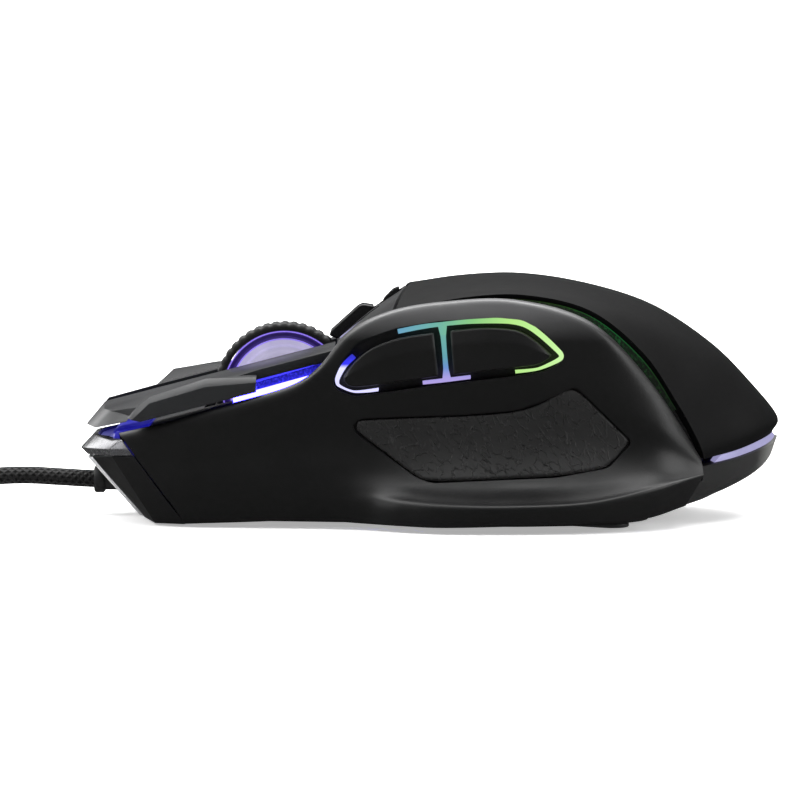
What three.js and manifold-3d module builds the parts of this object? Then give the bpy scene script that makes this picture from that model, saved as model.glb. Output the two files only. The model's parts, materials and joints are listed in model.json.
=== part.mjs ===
// A wired, right-handed gaming mouse, as an assembly of its moulded shells, lights, switches and wheel.
// Units are millimetres. -X is the nose with the cable, -Y is the thumb side, and +Z is up.
// The origin is under the middle of the body, on the surface that the mouse stands on.
import * as THREE from "three";
import { ConvexGeometry } from "three/addons/geometries/ConvexGeometry.js";
import { mergeVertices } from "three/addons/utils/BufferGeometryUtils.js";
import Module from "manifold-3d";

const wasm = await Module();
wasm.setup();

// ---------------------------------------------------------------- driving dimensions

const WALL = 1.6; // thickness of every moulded shell
const GAP = 0.35; // clearance between neighbouring mouldings
const FOOT = 0.85; // thickness of a glide foot
const FLOOR = [0.9, 2.5]; // underside and top of the base's floor
const BOARD = [4.6, 6.2]; // underside and top of the main circuit board
const SEAT = 0.1; // clearance under a component that stands on a board
const GRIP = { proud: 0.15, thickness: 0.7, recess: 0.9 }; // rubber pads, let into the side shells
const KEY = { proud: 0.45, depth: 2.0 }; // thumb buttons, against the shell's outer face

const WHEEL = { x: -26.6, z: 22.6, radius: 12.9, width: 7.8, tyre: 1.6, axle: 1.5 };
const WHEEL_ROOM = { radius: 14.0, halfWidth: 5.2 };

// The top plane of the two main buttons: height at a station, rising towards the palm.
const BUTTON = { noseX: -59.1, noseZ: 21.2, slope: 0.259, rearX: -17.2, inner: 5.2, plate: 1.7 };
const buttonTop = (x) => BUTTON.noseZ + (x - BUTTON.noseX) * BUTTON.slope;

// The joint between the nose and the side shells lies in one leaning plane.
const SEAM = { x: -43.8, z: 1.0, lean: -0.747 };
const seamX = (z) => SEAM.x + (z - SEAM.z) * SEAM.lean;

const CABLE = { diameter: 3.2, exit: [-58.6, 0, 6.5] };
const COIL = { x: -114, y: -9, radius: 19, turnsAcross: 4, pitch: 3.3 };

const SENSOR_X = 2;
const SWITCH = { length: 12.8, width: 5.8, height: 6.5 };
const SWITCH_TOP = BOARD[1] + SEAT + SWITCH.height;
const SCREWS = [[-31.6, -19], [-31.6, 19], [34, -20], [34, 20]];
const SCREW = { head: 1.9, shank: 0.95, bore: 1.3, counterbore: 2.3, boss: 3.1, clear: 3.6 };
const SIDE_SWITCHES = { forward: -5, back: 11 }; // where each thumb button presses its switch
const THUMB_REACH = [-60, -20]; // a cut through the thumb side only
const FINGER_REACH = [20, 60];

// ---------------------------------------------------------------- materials

const plastic = (color, roughness) => new THREE.MeshStandardMaterial({ color, roughness, metalness: 0 });
const metal = (color, roughness) => new THREE.MeshStandardMaterial({ color, roughness, metalness: 1 });
const glow = (color, emissive) =>
  new THREE.MeshStandardMaterial({ color, emissive, roughness: 0.3, metalness: 0 });

const SATIN_BLACK = plastic(0x17171a, 0.42);
const SOFT_TOUCH = plastic(0x1c1c1e, 0.75);
const BUTTON_GREY = plastic(0x2c2e33, 0.5);
const FRAME_BLACK = plastic(0x0b0b0d, 0.6);
const RUBBER = plastic(0x101010, 0.9);
const GUNMETAL = metal(0x9a9aa2, 0.25);
const CHROME = metal(0xd8d8dc, 0.08);
const STEEL = metal(0xb0b0b4, 0.35);
const BLUE_LIGHT = glow(0x6a70ff, 0x2020ff);
const THUMB_LIGHT = glow(0xc8ffa0, 0x80ff60);
const GREEN_LIGHT = glow(0x123018, 0x0a7a30);
const PALE_LIGHT = glow(0xc4bff0, 0x8880d0);
const CIRCUIT = plastic(0x0d3b22, 0.5);
const SWITCH_BODY = plastic(0x1a1a1a, 0.5);
const SWITCH_WHITE = plastic(0xe8e8e4, 0.5);
const GLIDE = plastic(0xd9d9d4, 0.4);
const BRAID = plastic(0x0c0c0c, 0.85);

// ---------------------------------------------------------------- shapes and booleans

// A closed geometry as a solid that can be joined and cut. One whose faces point inwards is turned round.
function solidFrom(geometry) {
  const loose = geometry.index ? geometry.toNonIndexed() : geometry.clone();
  for (const extra of ["normal", "uv"]) loose.deleteAttribute(extra);
  const merged = mergeVertices(loose, 1e-4);
  const build = (triVerts) =>
    new wasm.Manifold(
      new wasm.Mesh({ numProp: 3, vertProperties: merged.attributes.position.array, triVerts }),
    );
  const faces = new Uint32Array(merged.index.array);
  const solid = build(faces);
  return solid.volume() > 0 ? solid : build(faces.slice().reverse());
}

function geometryFrom(solid) {
  const mesh = solid.getMesh();
  const geometry = new THREE.BufferGeometry();
  geometry.setAttribute("position", new THREE.BufferAttribute(new Float32Array(mesh.vertProperties), 3));
  geometry.setIndex(new THREE.BufferAttribute(new Uint32Array(mesh.triVerts), 1));
  geometry.computeVertexNormals();
  return geometry;
}

const union = (...solids) => solids.reduce((made, next) => made.add(next));
const less = (solid, ...cutters) => cutters.reduce((made, next) => made.subtract(next), solid);

function box([x0, x1], [y0, y1], [z0, z1]) {
  const geometry = new THREE.BoxGeometry(x1 - x0, y1 - y0, z1 - z0);
  return solidFrom(geometry.translate((x0 + x1) / 2, (y0 + y1) / 2, (z0 + z1) / 2));
}

// A round bar along "x", "y" or "z", centred on a point. Its two radii are at the low and the high end.
function rod(axis, [x, y, z], [from, to], radius, sides = 20, endRadius = radius) {
  const geometry = new THREE.CylinderGeometry(endRadius, radius, to - from, sides);
  geometry.translate(0, (from + to) / 2, 0);
  if (axis === "x") geometry.rotateZ(-Math.PI / 2);
  if (axis === "z") geometry.rotateX(Math.PI / 2);
  return solidFrom(geometry.translate(x, y, z));
}

// An outline with its corners rounded off.
function rounded(points, radius) {
  const corners = points.map((p) => new THREE.Vector2(...p));
  const shape = new THREE.Shape();
  corners.forEach((corner, i) => {
    const before = corners.at(i - 1).clone().sub(corner);
    const after = corners[(i + 1) % corners.length].clone().sub(corner);
    const cut = Math.min(radius, before.length() / 2.05, after.length() / 2.05);
    const start = before.setLength(cut).add(corner);
    const end = after.setLength(cut).add(corner);
    if (i === 0) shape.moveTo(start.x, start.y);
    else shape.lineTo(start.x, start.y);
    shape.quadraticCurveTo(corner.x, corner.y, end.x, end.y);
  });
  shape.closePath();
  return shape;
}

// An outline moved outwards by a distance, or inwards by a negative one. Its points run either way round.
function grown(points, distance) {
  const turn = Math.sign(THREE.ShapeUtils.area(points.map((p) => new THREE.Vector2(...p))));
  return points.map((p, i) => {
    const before = points.at(i - 1);
    const after = points[(i + 1) % points.length];
    const normals = [
      [p[1] - before[1], before[0] - p[0]],
      [after[1] - p[1], p[0] - after[0]],
    ].map((n) => new THREE.Vector2(...n).normalize().multiplyScalar(turn));
    const middle = normals[0].clone().add(normals[1]).normalize();
    const reach = distance / Math.max(0.5, middle.dot(normals[0]));
    return [p[0] + middle.x * reach, p[1] + middle.y * reach];
  });
}

function asShape(outline) {
  if (outline instanceof THREE.Shape) return outline;
  return new THREE.Shape(outline.map((p) => new THREE.Vector2(...p)));
}

// A prism on an outline in the XY plane, from one height to another.
function prismZ(outline, [z0, z1], curveSegments = 3) {
  const settings = { depth: z1 - z0, bevelEnabled: false, curveSegments };
  const geometry = new THREE.ExtrudeGeometry(asShape(outline), settings);
  return solidFrom(geometry.translate(0, 0, z0));
}

// A prism on an outline in the XZ plane, across the mouse.
function prismY(outline, [y0, y1], curveSegments = 3) {
  const settings = { depth: y1 - y0, bevelEnabled: false, curveSegments };
  const geometry = new THREE.ExtrudeGeometry(asShape(outline), settings);
  return solidFrom(geometry.rotateX(Math.PI / 2).translate(0, y1, 0));
}

// The smallest convex solid round some points.
const hull = (points) => solidFrom(new ConvexGeometry(points.map((p) => new THREE.Vector3(...p))));
const bothSides = (points) => points.flatMap(([x, y, z]) => [[x, y, z], [x, -y, z]]);

// ---------------------------------------------------------------- smooth surfaces through a net of points

// The smooth value through a row of numbers, at a share of its length.
function smooth(values, share) {
  const at = Math.min(Math.max(share, 0), 1) * (values.length - 1);
  const i = Math.min(Math.floor(at), values.length - 2);
  const t = at - i;
  const [b, c] = [values[i], values[i + 1]];
  const a = i > 0 ? values[i - 1] : 2 * b - c;
  const d = i + 2 < values.length ? values[i + 2] : 2 * c - b;
  return b + 0.5 * t * (c - a + t * (2 * a - 5 * b + 4 * c - d + t * (3 * (b - c) + d - a)));
}

// The surface through a net: s runs along its stations and v across them, both from 0 to 1.
function surfaceThrough(net) {
  return (s, v) => {
    const point = [0, 1, 2].map((k) => smooth(net.map((station) => smooth(station.map((p) => p[k]), v)), s));
    return new THREE.Vector3(...point);
  };
}

// The point at a distance off a surface, on its outer side.
function offPoint(surface, s, v, distance, side) {
  const step = 0.004;
  const along = surface(Math.min(s + step, 1), v).sub(surface(Math.max(s - step, 0), v));
  const across = surface(s, Math.min(v + step, 1)).sub(surface(s, Math.max(v - step, 0)));
  return surface(s, v).addScaledVector(along.cross(across).normalize(), distance * side);
}

// A closed sheet that follows a surface, between two distances off it.
function sheet(surface, rows, columns, [outer, inner], side = 1) {
  const points = [];
  for (const distance of [outer, inner])
    for (let i = 0; i <= rows; i++)
      for (let j = 0; j <= columns; j++)
        points.push(offPoint(surface, i / rows, j / columns, distance, side));
  const layer = (rows + 1) * (columns + 1);
  const at = (i, j) => i * (columns + 1) + j;
  const faces = [];
  const quad = (a, b, c, d) => faces.push(a, b, c, a, c, d);
  for (let i = 0; i < rows; i++)
    for (let j = 0; j < columns; j++) {
      quad(at(i, j), at(i + 1, j), at(i + 1, j + 1), at(i, j + 1));
      quad(layer + at(i, j), layer + at(i, j + 1), layer + at(i + 1, j + 1), layer + at(i + 1, j));
    }
  for (let i = 0; i < rows; i++) {
    quad(at(i, 0), layer + at(i, 0), layer + at(i + 1, 0), at(i + 1, 0));
    quad(at(i + 1, columns), layer + at(i + 1, columns), layer + at(i, columns), at(i, columns));
  }
  for (let j = 0; j < columns; j++) {
    quad(at(0, j + 1), layer + at(0, j + 1), layer + at(0, j), at(0, j));
    quad(at(rows, j), layer + at(rows, j), layer + at(rows, j + 1), at(rows, j + 1));
  }
  const geometry = new THREE.BufferGeometry().setFromPoints(points);
  geometry.setIndex(faces);
  return solidFrom(geometry);
}

const mirrored = (net) => net.map((station) => station.map(([x, y, z]) => [x, -y, z]));

// Each station runs from the bottom edge over the thumb ledge, the waist and the shoulder to the crest.
const THUMB_SIDE = mirrored([
  [[-43.9, 24.6, 1.2], [-46.0, 25.2, 4.0], [-47.2, 25.4, 5.5], [-49.0, 25.5, 8.0], [-51.3, 25.2, 11.0],
    [-53.4, 24.6, 13.8], [-54.9, 23.9, 15.8], [-55.6, 22.8, 16.8], [-55.3, 21.4, 16.3]],
  [[-34.0, 25.8, 1.2], [-34.8, 26.6, 4.2], [-35.3, 26.9, 6.0], [-36.0, 27.0, 9.0], [-37.0, 26.6, 13.0],
    [-38.0, 26.9, 16.8], [-38.8, 27.0, 20.0], [-39.2, 26.0, 21.6], [-39.2, 24.4, 21.2]],
  [[-25.0, 27.0, 1.2], [-25.0, 27.8, 4.4], [-25.0, 28.0, 6.4], [-25.2, 27.8, 10.0], [-25.4, 27.2, 15.0],
    [-25.6, 27.8, 19.8], [-25.8, 28.4, 23.4], [-26.0, 27.4, 25.0], [-26.0, 25.6, 24.6]],
  [[-18.0, 28.2, 1.2], [-18.0, 28.9, 4.6], [-17.8, 28.9, 6.8], [-17.8, 28.2, 10.6], [-18.0, 27.3, 16.4],
    [-18.6, 28.0, 22.0], [-19.6, 28.6, 27.0], [-20.2, 27.6, 28.5], [-19.4, 25.8, 28.4]],
  [[-11.5, 30.6, 1.2], [-11.0, 31.4, 4.9], [-11.0, 30.6, 7.2], [-11.0, 28.8, 11.0], [-11.4, 27.6, 17.4],
    [-12.4, 28.8, 25.0], [-13.8, 28.8, 33.2], [-14.8, 27.4, 34.9], [-14.0, 25.8, 34.6]],
  [[-5.5, 34.8, 1.2], [-5.0, 35.8, 5.0], [-5.0, 33.8, 6.6], [-5.0, 30.4, 9.8], [-5.0, 28.0, 17.6],
    [-6.0, 29.8, 26.6], [-7.0, 29.4, 36.8], [-7.6, 27.8, 38.6], [-7.2, 26.2, 38.2]],
  [[2.0, 38.2, 1.2], [2.4, 39.1, 4.8], [2.4, 36.8, 6.0], [2.6, 32.0, 8.8], [3.0, 28.4, 17.4],
    [3.0, 30.6, 28.0], [2.6, 30.2, 38.6], [2.4, 28.6, 40.4], [2.6, 26.8, 40.0]],
  [[14.0, 38.8, 1.2], [14.0, 39.6, 4.7], [14.0, 37.6, 5.8], [14.4, 32.6, 8.6], [15.0, 28.8, 17.0],
    [15.2, 31.2, 27.6], [15.2, 31.0, 38.8], [15.2, 29.4, 40.7], [15.2, 27.4, 40.3]],
  [[27.0, 37.2, 1.4], [27.6, 38.2, 5.2], [27.8, 36.4, 6.4], [28.2, 32.4, 9.6], [28.8, 29.4, 16.6],
    [28.6, 31.0, 25.0], [28.2, 31.0, 34.6], [28.6, 29.4, 36.6], [27.8, 27.8, 36.4]],
  [[37.6, 32.2, 2.2], [39.4, 33.2, 7.0], [39.6, 32.0, 8.4], [39.8, 30.0, 10.8], [39.8, 28.6, 14.6],
    [39.4, 29.0, 19.0], [38.6, 28.8, 24.2], [39.2, 27.4, 25.8], [38.0, 26.4, 25.6]],
  [[45.2, 26.6, 4.0], [48.3, 24.6, 8.8], [48.5, 24.3, 9.5], [48.5, 24.1, 10.1], [48.4, 23.9, 10.7],
    [48.3, 23.7, 11.3], [48.2, 23.4, 11.9], [48.0, 22.8, 12.4], [47.4, 22.4, 12.2]],
]);

// The finger side has a lower crest and a softer flare.
const FINGER_SIDE = [
  [[-43.9, 24.6, 1.2], [-46.0, 25.2, 4.0], [-49.0, 25.5, 8.0], [-51.3, 25.2, 11.0],
    [-53.4, 24.6, 13.8], [-54.9, 23.9, 15.8], [-55.6, 22.8, 16.8], [-55.3, 21.4, 16.3]],
  [[-34.0, 26.4, 1.2], [-34.8, 27.4, 4.2], [-36.0, 27.6, 8.5], [-37.0, 27.2, 13.0],
    [-38.0, 27.3, 16.8], [-38.8, 27.2, 20.0], [-39.2, 26.2, 21.6], [-39.2, 24.6, 21.2]],
  [[-24.0, 29.0, 1.2], [-24.0, 30.2, 4.4], [-24.4, 29.6, 9.5], [-25.0, 28.8, 15.0],
    [-25.6, 28.8, 19.8], [-25.8, 28.8, 23.4], [-26.0, 27.6, 25.0], [-26.0, 25.8, 24.6]],
  [[-10.0, 33.0, 1.2], [-10.0, 34.4, 4.8], [-10.4, 32.2, 10.0], [-11.0, 30.2, 17.0],
    [-11.6, 30.2, 24.0], [-12.0, 30.0, 29.8], [-12.4, 28.8, 31.4], [-12.2, 27.4, 31.0]],
  [[4.0, 37.0, 1.2], [4.0, 38.2, 4.8], [4.0, 34.6, 10.0], [4.0, 31.6, 17.5],
    [4.0, 31.4, 25.4], [4.0, 31.4, 32.4], [4.0, 30.4, 34.2], [4.0, 29.2, 33.8]],
  [[17.0, 37.8, 1.2], [17.0, 38.6, 4.8], [17.0, 35.2, 10.4], [17.0, 32.4, 17.6],
    [17.0, 32.2, 25.0], [17.0, 31.8, 31.8], [17.0, 30.8, 33.8], [17.0, 29.6, 33.4]],
  [[28.6, 35.0, 1.4], [29.0, 36.4, 5.4], [29.2, 34.0, 10.4], [29.4, 32.0, 16.4],
    [29.2, 31.4, 22.8], [28.8, 31.0, 28.6], [28.8, 30.2, 30.6], [28.4, 29.0, 30.2]],
  [[38.0, 30.6, 2.2], [39.4, 31.8, 6.6], [39.8, 30.6, 10.0], [39.8, 29.4, 14.0],
    [39.4, 28.8, 18.0], [38.8, 28.4, 22.0], [38.8, 27.8, 23.6], [37.8, 27.0, 23.2]],
  [[45.2, 26.6, 4.0], [48.3, 24.6, 8.8], [48.5, 24.1, 10.1], [48.4, 23.9, 10.7],
    [48.3, 23.7, 11.3], [48.2, 23.4, 11.9], [48.0, 22.8, 12.4], [47.4, 22.4, 12.2]],
];

// Each station of the palm cover runs from the thumb-side groove over the crown to the finger-side groove.
const PALM = [
  [[-6.4, -23.6, 38.4], [-5.6, -17.0, 40.2], [-4.4, -9.0, 42.0], [-3.4, 0.0, 42.7],
    [-4.4, 9.0, 41.8], [-6.0, 18.0, 38.8], [-7.5, 26.0, 33.2]],
  [[6.0, -25.2, 41.0], [6.0, -18.5, 42.6], [6.0, -9.0, 43.8], [6.2, 0.0, 44.1],
    [6.0, 10.0, 43.0], [6.0, 19.5, 40.0], [6.0, 27.6, 34.8]],
  [[17.0, -25.8, 41.4], [17.0, -19.0, 43.0], [17.0, -9.0, 44.2], [17.0, 0.0, 44.4],
    [17.0, 10.0, 43.4], [17.0, 20.0, 40.0], [17.0, 28.0, 34.4]],
  [[28.4, -26.0, 38.6], [28.8, -19.4, 41.0], [29.2, -9.5, 42.2], [29.4, 0.0, 42.4],
    [29.2, 10.0, 41.4], [28.8, 20.0, 37.4], [28.2, 27.4, 31.3]],
  [[37.8, -24.8, 31.0], [39.6, -18.8, 35.6], [40.6, -9.6, 38.2], [41.0, 0.0, 38.5],
    [40.6, 10.0, 37.4], [39.4, 19.2, 32.8], [37.6, 25.4, 24.8]],
  [[43.8, -23.4, 22.2], [48.4, -17.6, 27.4], [50.8, -9.0, 31.0], [51.6, 0.0, 31.5],
    [50.8, 9.4, 30.4], [48.2, 17.6, 25.8], [43.6, 23.4, 18.6]],
  [[46.8, -22.4, 17.0], [53.0, -16.6, 19.6], [57.4, -8.4, 23.6], [58.8, 0.0, 24.3],
    [57.4, 8.6, 23.2], [53.0, 16.6, 18.8], [46.8, 22.4, 15.0]],
  [[48.6, -21.6, 12.8], [55.6, -15.2, 12.9], [61.2, -7.6, 14.8], [63.4, 0.0, 16.0],
    [61.2, 7.6, 14.8], [55.6, 15.2, 12.9], [48.6, 21.6, 12.8]],
];

// The bridge rises from the rear of the main buttons to the front edge of the palm cover.
const BRIDGE = [
  [[-16.6, -24.4, 30.2], [-16.8, -12.0, 31.8], [-16.8, 0.0, 32.6], [-16.8, 12.0, 31.6], [-16.6, 25.0, 28.6]],
  [[-12.2, -24.4, 34.8], [-11.6, -12.0, 36.4], [-11.4, 0.0, 37.3], [-11.6, 12.0, 36.0], [-12.4, 25.4, 30.8]],
  [[-7.4, -23.6, 37.4], [-5.8, -12.0, 40.6], [-4.4, 0.0, 42.0], [-5.8, 12.0, 40.2], [-8.4, 25.6, 32.8]],
];

// The tail of the base, from its underside up to its rim, round the back of the mouse.
const TAIL = [
  [[42.4, -21.2, 3.0], [44.6, -21.9, 6.0], [46.6, -20.4, 10.0]],
  [[48.0, -13.6, 3.9], [52.4, -15.6, 6.6], [54.6, -15.6, 10.5]],
  [[52.4, -6.6, 5.4], [58.4, -7.8, 8.4], [61.0, -7.8, 12.7]],
  [[54.0, 0.0, 6.0], [61.6, 0.0, 9.8], [63.7, 0.0, 14.0]],
  [[52.4, 6.6, 5.4], [58.4, 7.8, 8.4], [61.0, 7.8, 12.7]],
  [[48.0, 13.6, 3.9], [52.4, 15.6, 6.6], [54.6, 15.6, 10.5]],
  [[42.4, 21.2, 3.0], [44.6, 21.9, 6.0], [46.6, 20.4, 10.0]],
];

const thumbSurface = surfaceThrough(THUMB_SIDE);
const fingerSurface = surfaceThrough(FINGER_SIDE);
const palmSurface = surfaceThrough(PALM);
const bridgeSurface = surfaceThrough(BRIDGE);
const tailSurface = surfaceThrough(TAIL);

// A strip that fills the groove between two edges, a little below them.
function grooveStrip(edgeA, edgeB, stations, depth, thickness, inwards) {
  const rows = [];
  for (let i = 0; i <= stations; i++) {
    const a = edgeA(i / stations);
    let b = edgeB(0);
    for (let k = 0; k <= 200; k++) {
      const near = edgeB(k / 200);
      if (near.distanceTo(a) < b.distanceTo(a)) b = near;
    }
    const across = b.clone().sub(a);
    const inset = GAP / across.length();
    const down = inwards(a).setLength(depth);
    const edges = [inset * 2, 1 - inset].map((share) => a.clone().addScaledVector(across, share).add(down));
    rows.push(edges.map((edge) => edge.toArray()));
  }
  return sheet(surfaceThrough(rows), stations, 1, [0, -thickness]);
}

// ---------------------------------------------------------------- outlines in the side view

const THUMB_WINDOW = [
  [-17.2, 26.0], [-16.2, 28.8], [-12.6, 33.2], [-5.8, 35.6], [1.5, 36.8], [11.6, 37.4], [15.9, 37.0],
  [19.4, 35.2], [23.2, 31.3], [22.8, 30.1], [19.8, 28.5], [14.8, 27.7], [-1.5, 25.7], [-9.4, 24.5],
  [-13.6, 23.9], [-16.2, 24.8],
];
const FORWARD_BUTTON = [
  [-15.6, 26.2], [-14.6, 28.4], [-11.6, 31.8], [-5.4, 34.2], [1.0, 35.3], [1.7, 27.2], [-9.4, 25.7],
  [-13.6, 25.1],
];
const BACK_BUTTON = [
  [3.0, 35.5], [11.6, 36.0], [15.4, 35.6], [18.4, 34.0], [21.6, 31.0], [19.2, 29.5], [14.8, 28.8], [3.6, 27.5],
];
const THUMB_GRIP = [
  [-13.5, 19.0], [6.0, 20.2], [15.0, 21.0], [20.0, 22.8], [25.5, 25.4], [35.4, 15.6], [31.2, 11.3],
  [22.1, 9.7], [0.1, 8.7], [-2.6, 9.6],
];
const FINGER_GRIP = [
  [-22.0, 18.6], [2.0, 21.6], [24.0, 22.6], [34.6, 14.6], [28.0, 10.6], [-4.0, 9.4], [-9.0, 10.0],
];

// ---------------------------------------------------------------- the assembly

const mouse = new THREE.Group();

function place(name, solid, material, parent = mouse) {
  const geometry = solid.isBufferGeometry ? solid : geometryFrom(solid);
  const mesh = new THREE.Mesh(geometry, material);
  mesh.name = name;
  parent.add(mesh);
  return mesh;
}

// ---- shells

// The part of a side's surface that lies inside a rounded outline, between two distances off the surface.
function sidePatch(surface, outline, radius, reach, distances, side) {
  return sheet(surface, 18, 10, distances, side).intersect(prismY(rounded(outline, radius), reach));
}

function addSideShells() {
  const window = prismY(rounded(grown(THUMB_WINDOW, GAP), 0.8), THUMB_REACH);
  const recessed = [GRIP.recess + 0.6, -GRIP.recess];
  const padded = [GRIP.proud, GRIP.proud - GRIP.thickness];
  const sides = [
    { name: "thumb", surface: thumbSurface, grip: THUMB_GRIP, reach: THUMB_REACH, side: 1, cuts: [window] },
    { name: "finger", surface: fingerSurface, grip: FINGER_GRIP, reach: FINGER_REACH, side: -1, cuts: [] },
  ];
  for (const { name, surface, grip, reach, side, cuts } of sides) {
    const recess = sidePatch(surface, grip, 1.6, reach, recessed, side);
    const shell = sheet(surface, 22, 12, [0, -WALL], side);
    place(`${name}_side_shell`, less(shell, ...cuts, recess), SATIN_BLACK);
    place(`${name}_grip_pad`, sidePatch(surface, grown(grip, -GAP), 1.4, reach, padded, side), RUBBER);
  }
}

function addPalmCover() {
  place("palm_cover", sheet(palmSurface, 18, 12, [0, -WALL]), SOFT_TOUCH);
}

function addBase() {
  const outline = [
    [-42.6, -9], [-42.6, -22.6], [-25, -24.8], [-12, -27.5], [0, -34.5], [14, -36.4], [27, -34.6],
    [37, -29.6], [42.6, -21.6], [44.6, -12], [44.6, 12], [42.6, 21.6], [37, 28], [27, 32.6], [16, 35.4],
    [3, 34.6], [-10, 30.4], [-25, 26.4], [-42.6, 22.6], [-42.6, 9],
  ];
  const tray = prismZ(rounded(outline, 3), FLOOR, 2);
  const tail = sheet(tailSurface, 14, 4, [0, -WALL]);
  const ramp = hull(bothSides([
    [41.5, 21, 1.0], [41.5, 21, 2.4], [47.4, 12.6, 4.4], [52.6, 6, 6.2], [54, 0, 6.6],
    [47.4, 12.6, 5.6], [52.6, 6, 7.4], [54.2, 0, 7.8],
  ]));
  const bosses = SCREWS.map(([x, y]) => rod("z", [x, y, 0], [FLOOR[1] - 0.3, 7], SCREW.boss, 16));
  const bores = SCREWS.flatMap(([x, y]) => [
    rod("z", [x, y, 0], [0, 2.3], SCREW.counterbore, 16),
    rod("z", [x, y, 0], [0, 9], SCREW.bore, 12),
  ]);
  const sensorHole = rod("z", [SENSOR_X, 0, 0], [0, 5], 3.8, 20);
  place("base_shell", less(union(tray, tail, ramp, ...bosses), ...bores, sensorHole), SATIN_BLACK);
}

function addBridge() {
  const across = [-WHEEL_ROOM.halfWidth, WHEEL_ROOM.halfWidth];
  const wheelRoom = rod("y", [WHEEL.x, 0, WHEEL.z], across, WHEEL_ROOM.radius, 40);
  const keyways = [grown(DPI_FRONT.outline, GAP), grown(DPI_REAR.outline, GAP)].map((outline, i) => {
    const half = [DPI_FRONT, DPI_REAR][i].halfWidth + GAP;
    const xs = outline.map((p) => p[0]);
    return box([Math.min(...xs), Math.max(...xs)], [-half, half], [26, 48]);
  });
  const strips = [-1, 1].map((side) => spineStrip(side, GAP));
  const cover = sheet(bridgeSurface, 6, 12, [0, -WALL]);
  place("bridge_cover", less(cover, wheelRoom, ...keyways, ...strips), SATIN_BLACK);
}

// ---- the mode keys behind the wheel, with a light line on each side

const DPI_FRONT = {
  halfWidth: 3.4,
  outline: [
    [-16.6, 33.2], [-15.2, 36.8], [-13.2, 38.5], [-10.6, 38.6], [-10.2, 37.4], [-10.2, 34.0], [-14.4, 31.6],
  ],
};
const DPI_REAR = {
  halfWidth: 3.4,
  outline: [
    [-8.9, 38.0], [-8.6, 39.6], [-6.8, 41.4], [-5.6, 41.9], [-5.6, 32.2], [-8.0, 32.2], [-8.0, 36.6],
  ],
};
const SPINE_LIGHT = { y: [5.6, 6.7], front: [-15.8, 33.4], rear: [-9.6, 38.2], depth: 2.3 };

function spineStrip(side, gap) {
  const [x0, z0] = SPINE_LIGHT.front;
  const [x1, z1] = SPINE_LIGHT.rear;
  const { depth } = SPINE_LIGHT;
  const outline = [[x0, z0 - depth], [x0, z0 + 0.4], [x1, z1 + 0.2], [x1, z1 - depth]];
  const across = SPINE_LIGHT.y.map((y, i) => side * (y + (i ? gap : -gap))).sort((a, b) => a - b);
  return prismY(gap ? grown(outline, gap) : outline, across);
}

function addModeKeys() {
  for (const [name, key] of [["dpi_front_button", DPI_FRONT], ["dpi_rear_button", DPI_REAR]])
    place(name, prismY(rounded(key.outline, 0.7), [-key.halfWidth, key.halfWidth], 2), FRAME_BLACK);
  place("spine_light_left", spineStrip(-1, 0), PALE_LIGHT);
  place("spine_light_right", spineStrip(1, 0), PALE_LIGHT);
}

// ---- nose

function noseOutline(inset) {
  const rim = (out, z) => [seamX(z) - GAP - inset * 0.3, out - inset, z];
  return bothSides([
    [-50.9 + inset, 11 - inset, 1.0 + inset], [-44.4 + inset * 0.4, 24.3 - inset, 1.1 + inset],
    rim(25.1, 4), rim(25.4, 8), rim(24.9, 11.4),
    [-63.2 + inset, 6.2 - inset, 11.2], [-61.8 + inset, 10.4 - inset, 11.3],
  ]);
}

function addNose() {
  const exit = rod("x", [0, CABLE.exit[1], CABLE.exit[2]], [-70, -45], 2.5, 20);
  const opening = hull(noseOutline(WALL).map(([x, y, z]) => [x + 3, y, z]));
  const collarRoom = rod("x", [0, CABLE.exit[1], CABLE.exit[2]], [-70, CABLE.exit[0] - 1], 3.3, 20);
  place("nose_shell", less(hull(noseOutline(0)), exit, collarRoom, opening), SATIN_BLACK);

  const bezel = hull(bothSides([
    [-63.7, 5.6, 11.5], [-62.3, 10.2, 11.6], [-52.8, 24.4, 11.8], [-64.0, 5.2, 12.6], [-62.6, 10.4, 12.8],
    [-54.6, 23.8, 14.0], [-61.5, 6.4, 15.8], [-60.2, 10.0, 15.9], [-56.6, 21.8, 16.5],
  ]));
  const well = hull(bothSides([
    [-61.9, 4.6, 11.0], [-60.4, 8.8, 11.0], [-54.0, 21.6, 11.0], [-47, 21.6, 11.0],
    [-60.4, 5.2, 18], [-59.2, 8.8, 18], [-55.0, 20.6, 18], [-47, 20.6, 18],
  ]));
  place("nose_bezel", less(bezel, well), GUNMETAL);

  const glass = hull(bothSides([
    [-59.8, 4.8, 12.4], [-58.6, 8.2, 12.4], [-54.6, 19.4, 12.4], [-53, 19.4, 12.4],
    [-59.8, 4.8, 14.6], [-58.6, 8.2, 14.8], [-54.6, 19.4, 15.4], [-53, 19.4, 15.4],
  ]));
  place("nose_light_guide", glass, BLUE_LIGHT);

  for (const [name, side] of [["nose_trim_left", -1], ["nose_trim_right", 1]]) {
    const line = [[-63.9, 7.2, 11.0], [-63.3, 9.4, 10.8], [-51.6, 9.0, 0.7], [-51.2, 11.0, 0.9]];
    const strip = [...line, ...line.map(([x, y, z]) => [x - 0.5, y, z - 0.45])];
    place(name, less(hull(strip.map(([x, y, z]) => [x, y * side, z])), hull(noseOutline(-0.12))), CHROME);
  }
}

// ---- main buttons

const PLUNGER_X = -37.8; // where each main button presses its switch
const BUTTON_SECTION = [[4.9, 0.0], [9.0, -0.5], [14.0, -1.5], [19.0, -1.7], [24.0, -1.2], [28.0, -0.9]];

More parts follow.
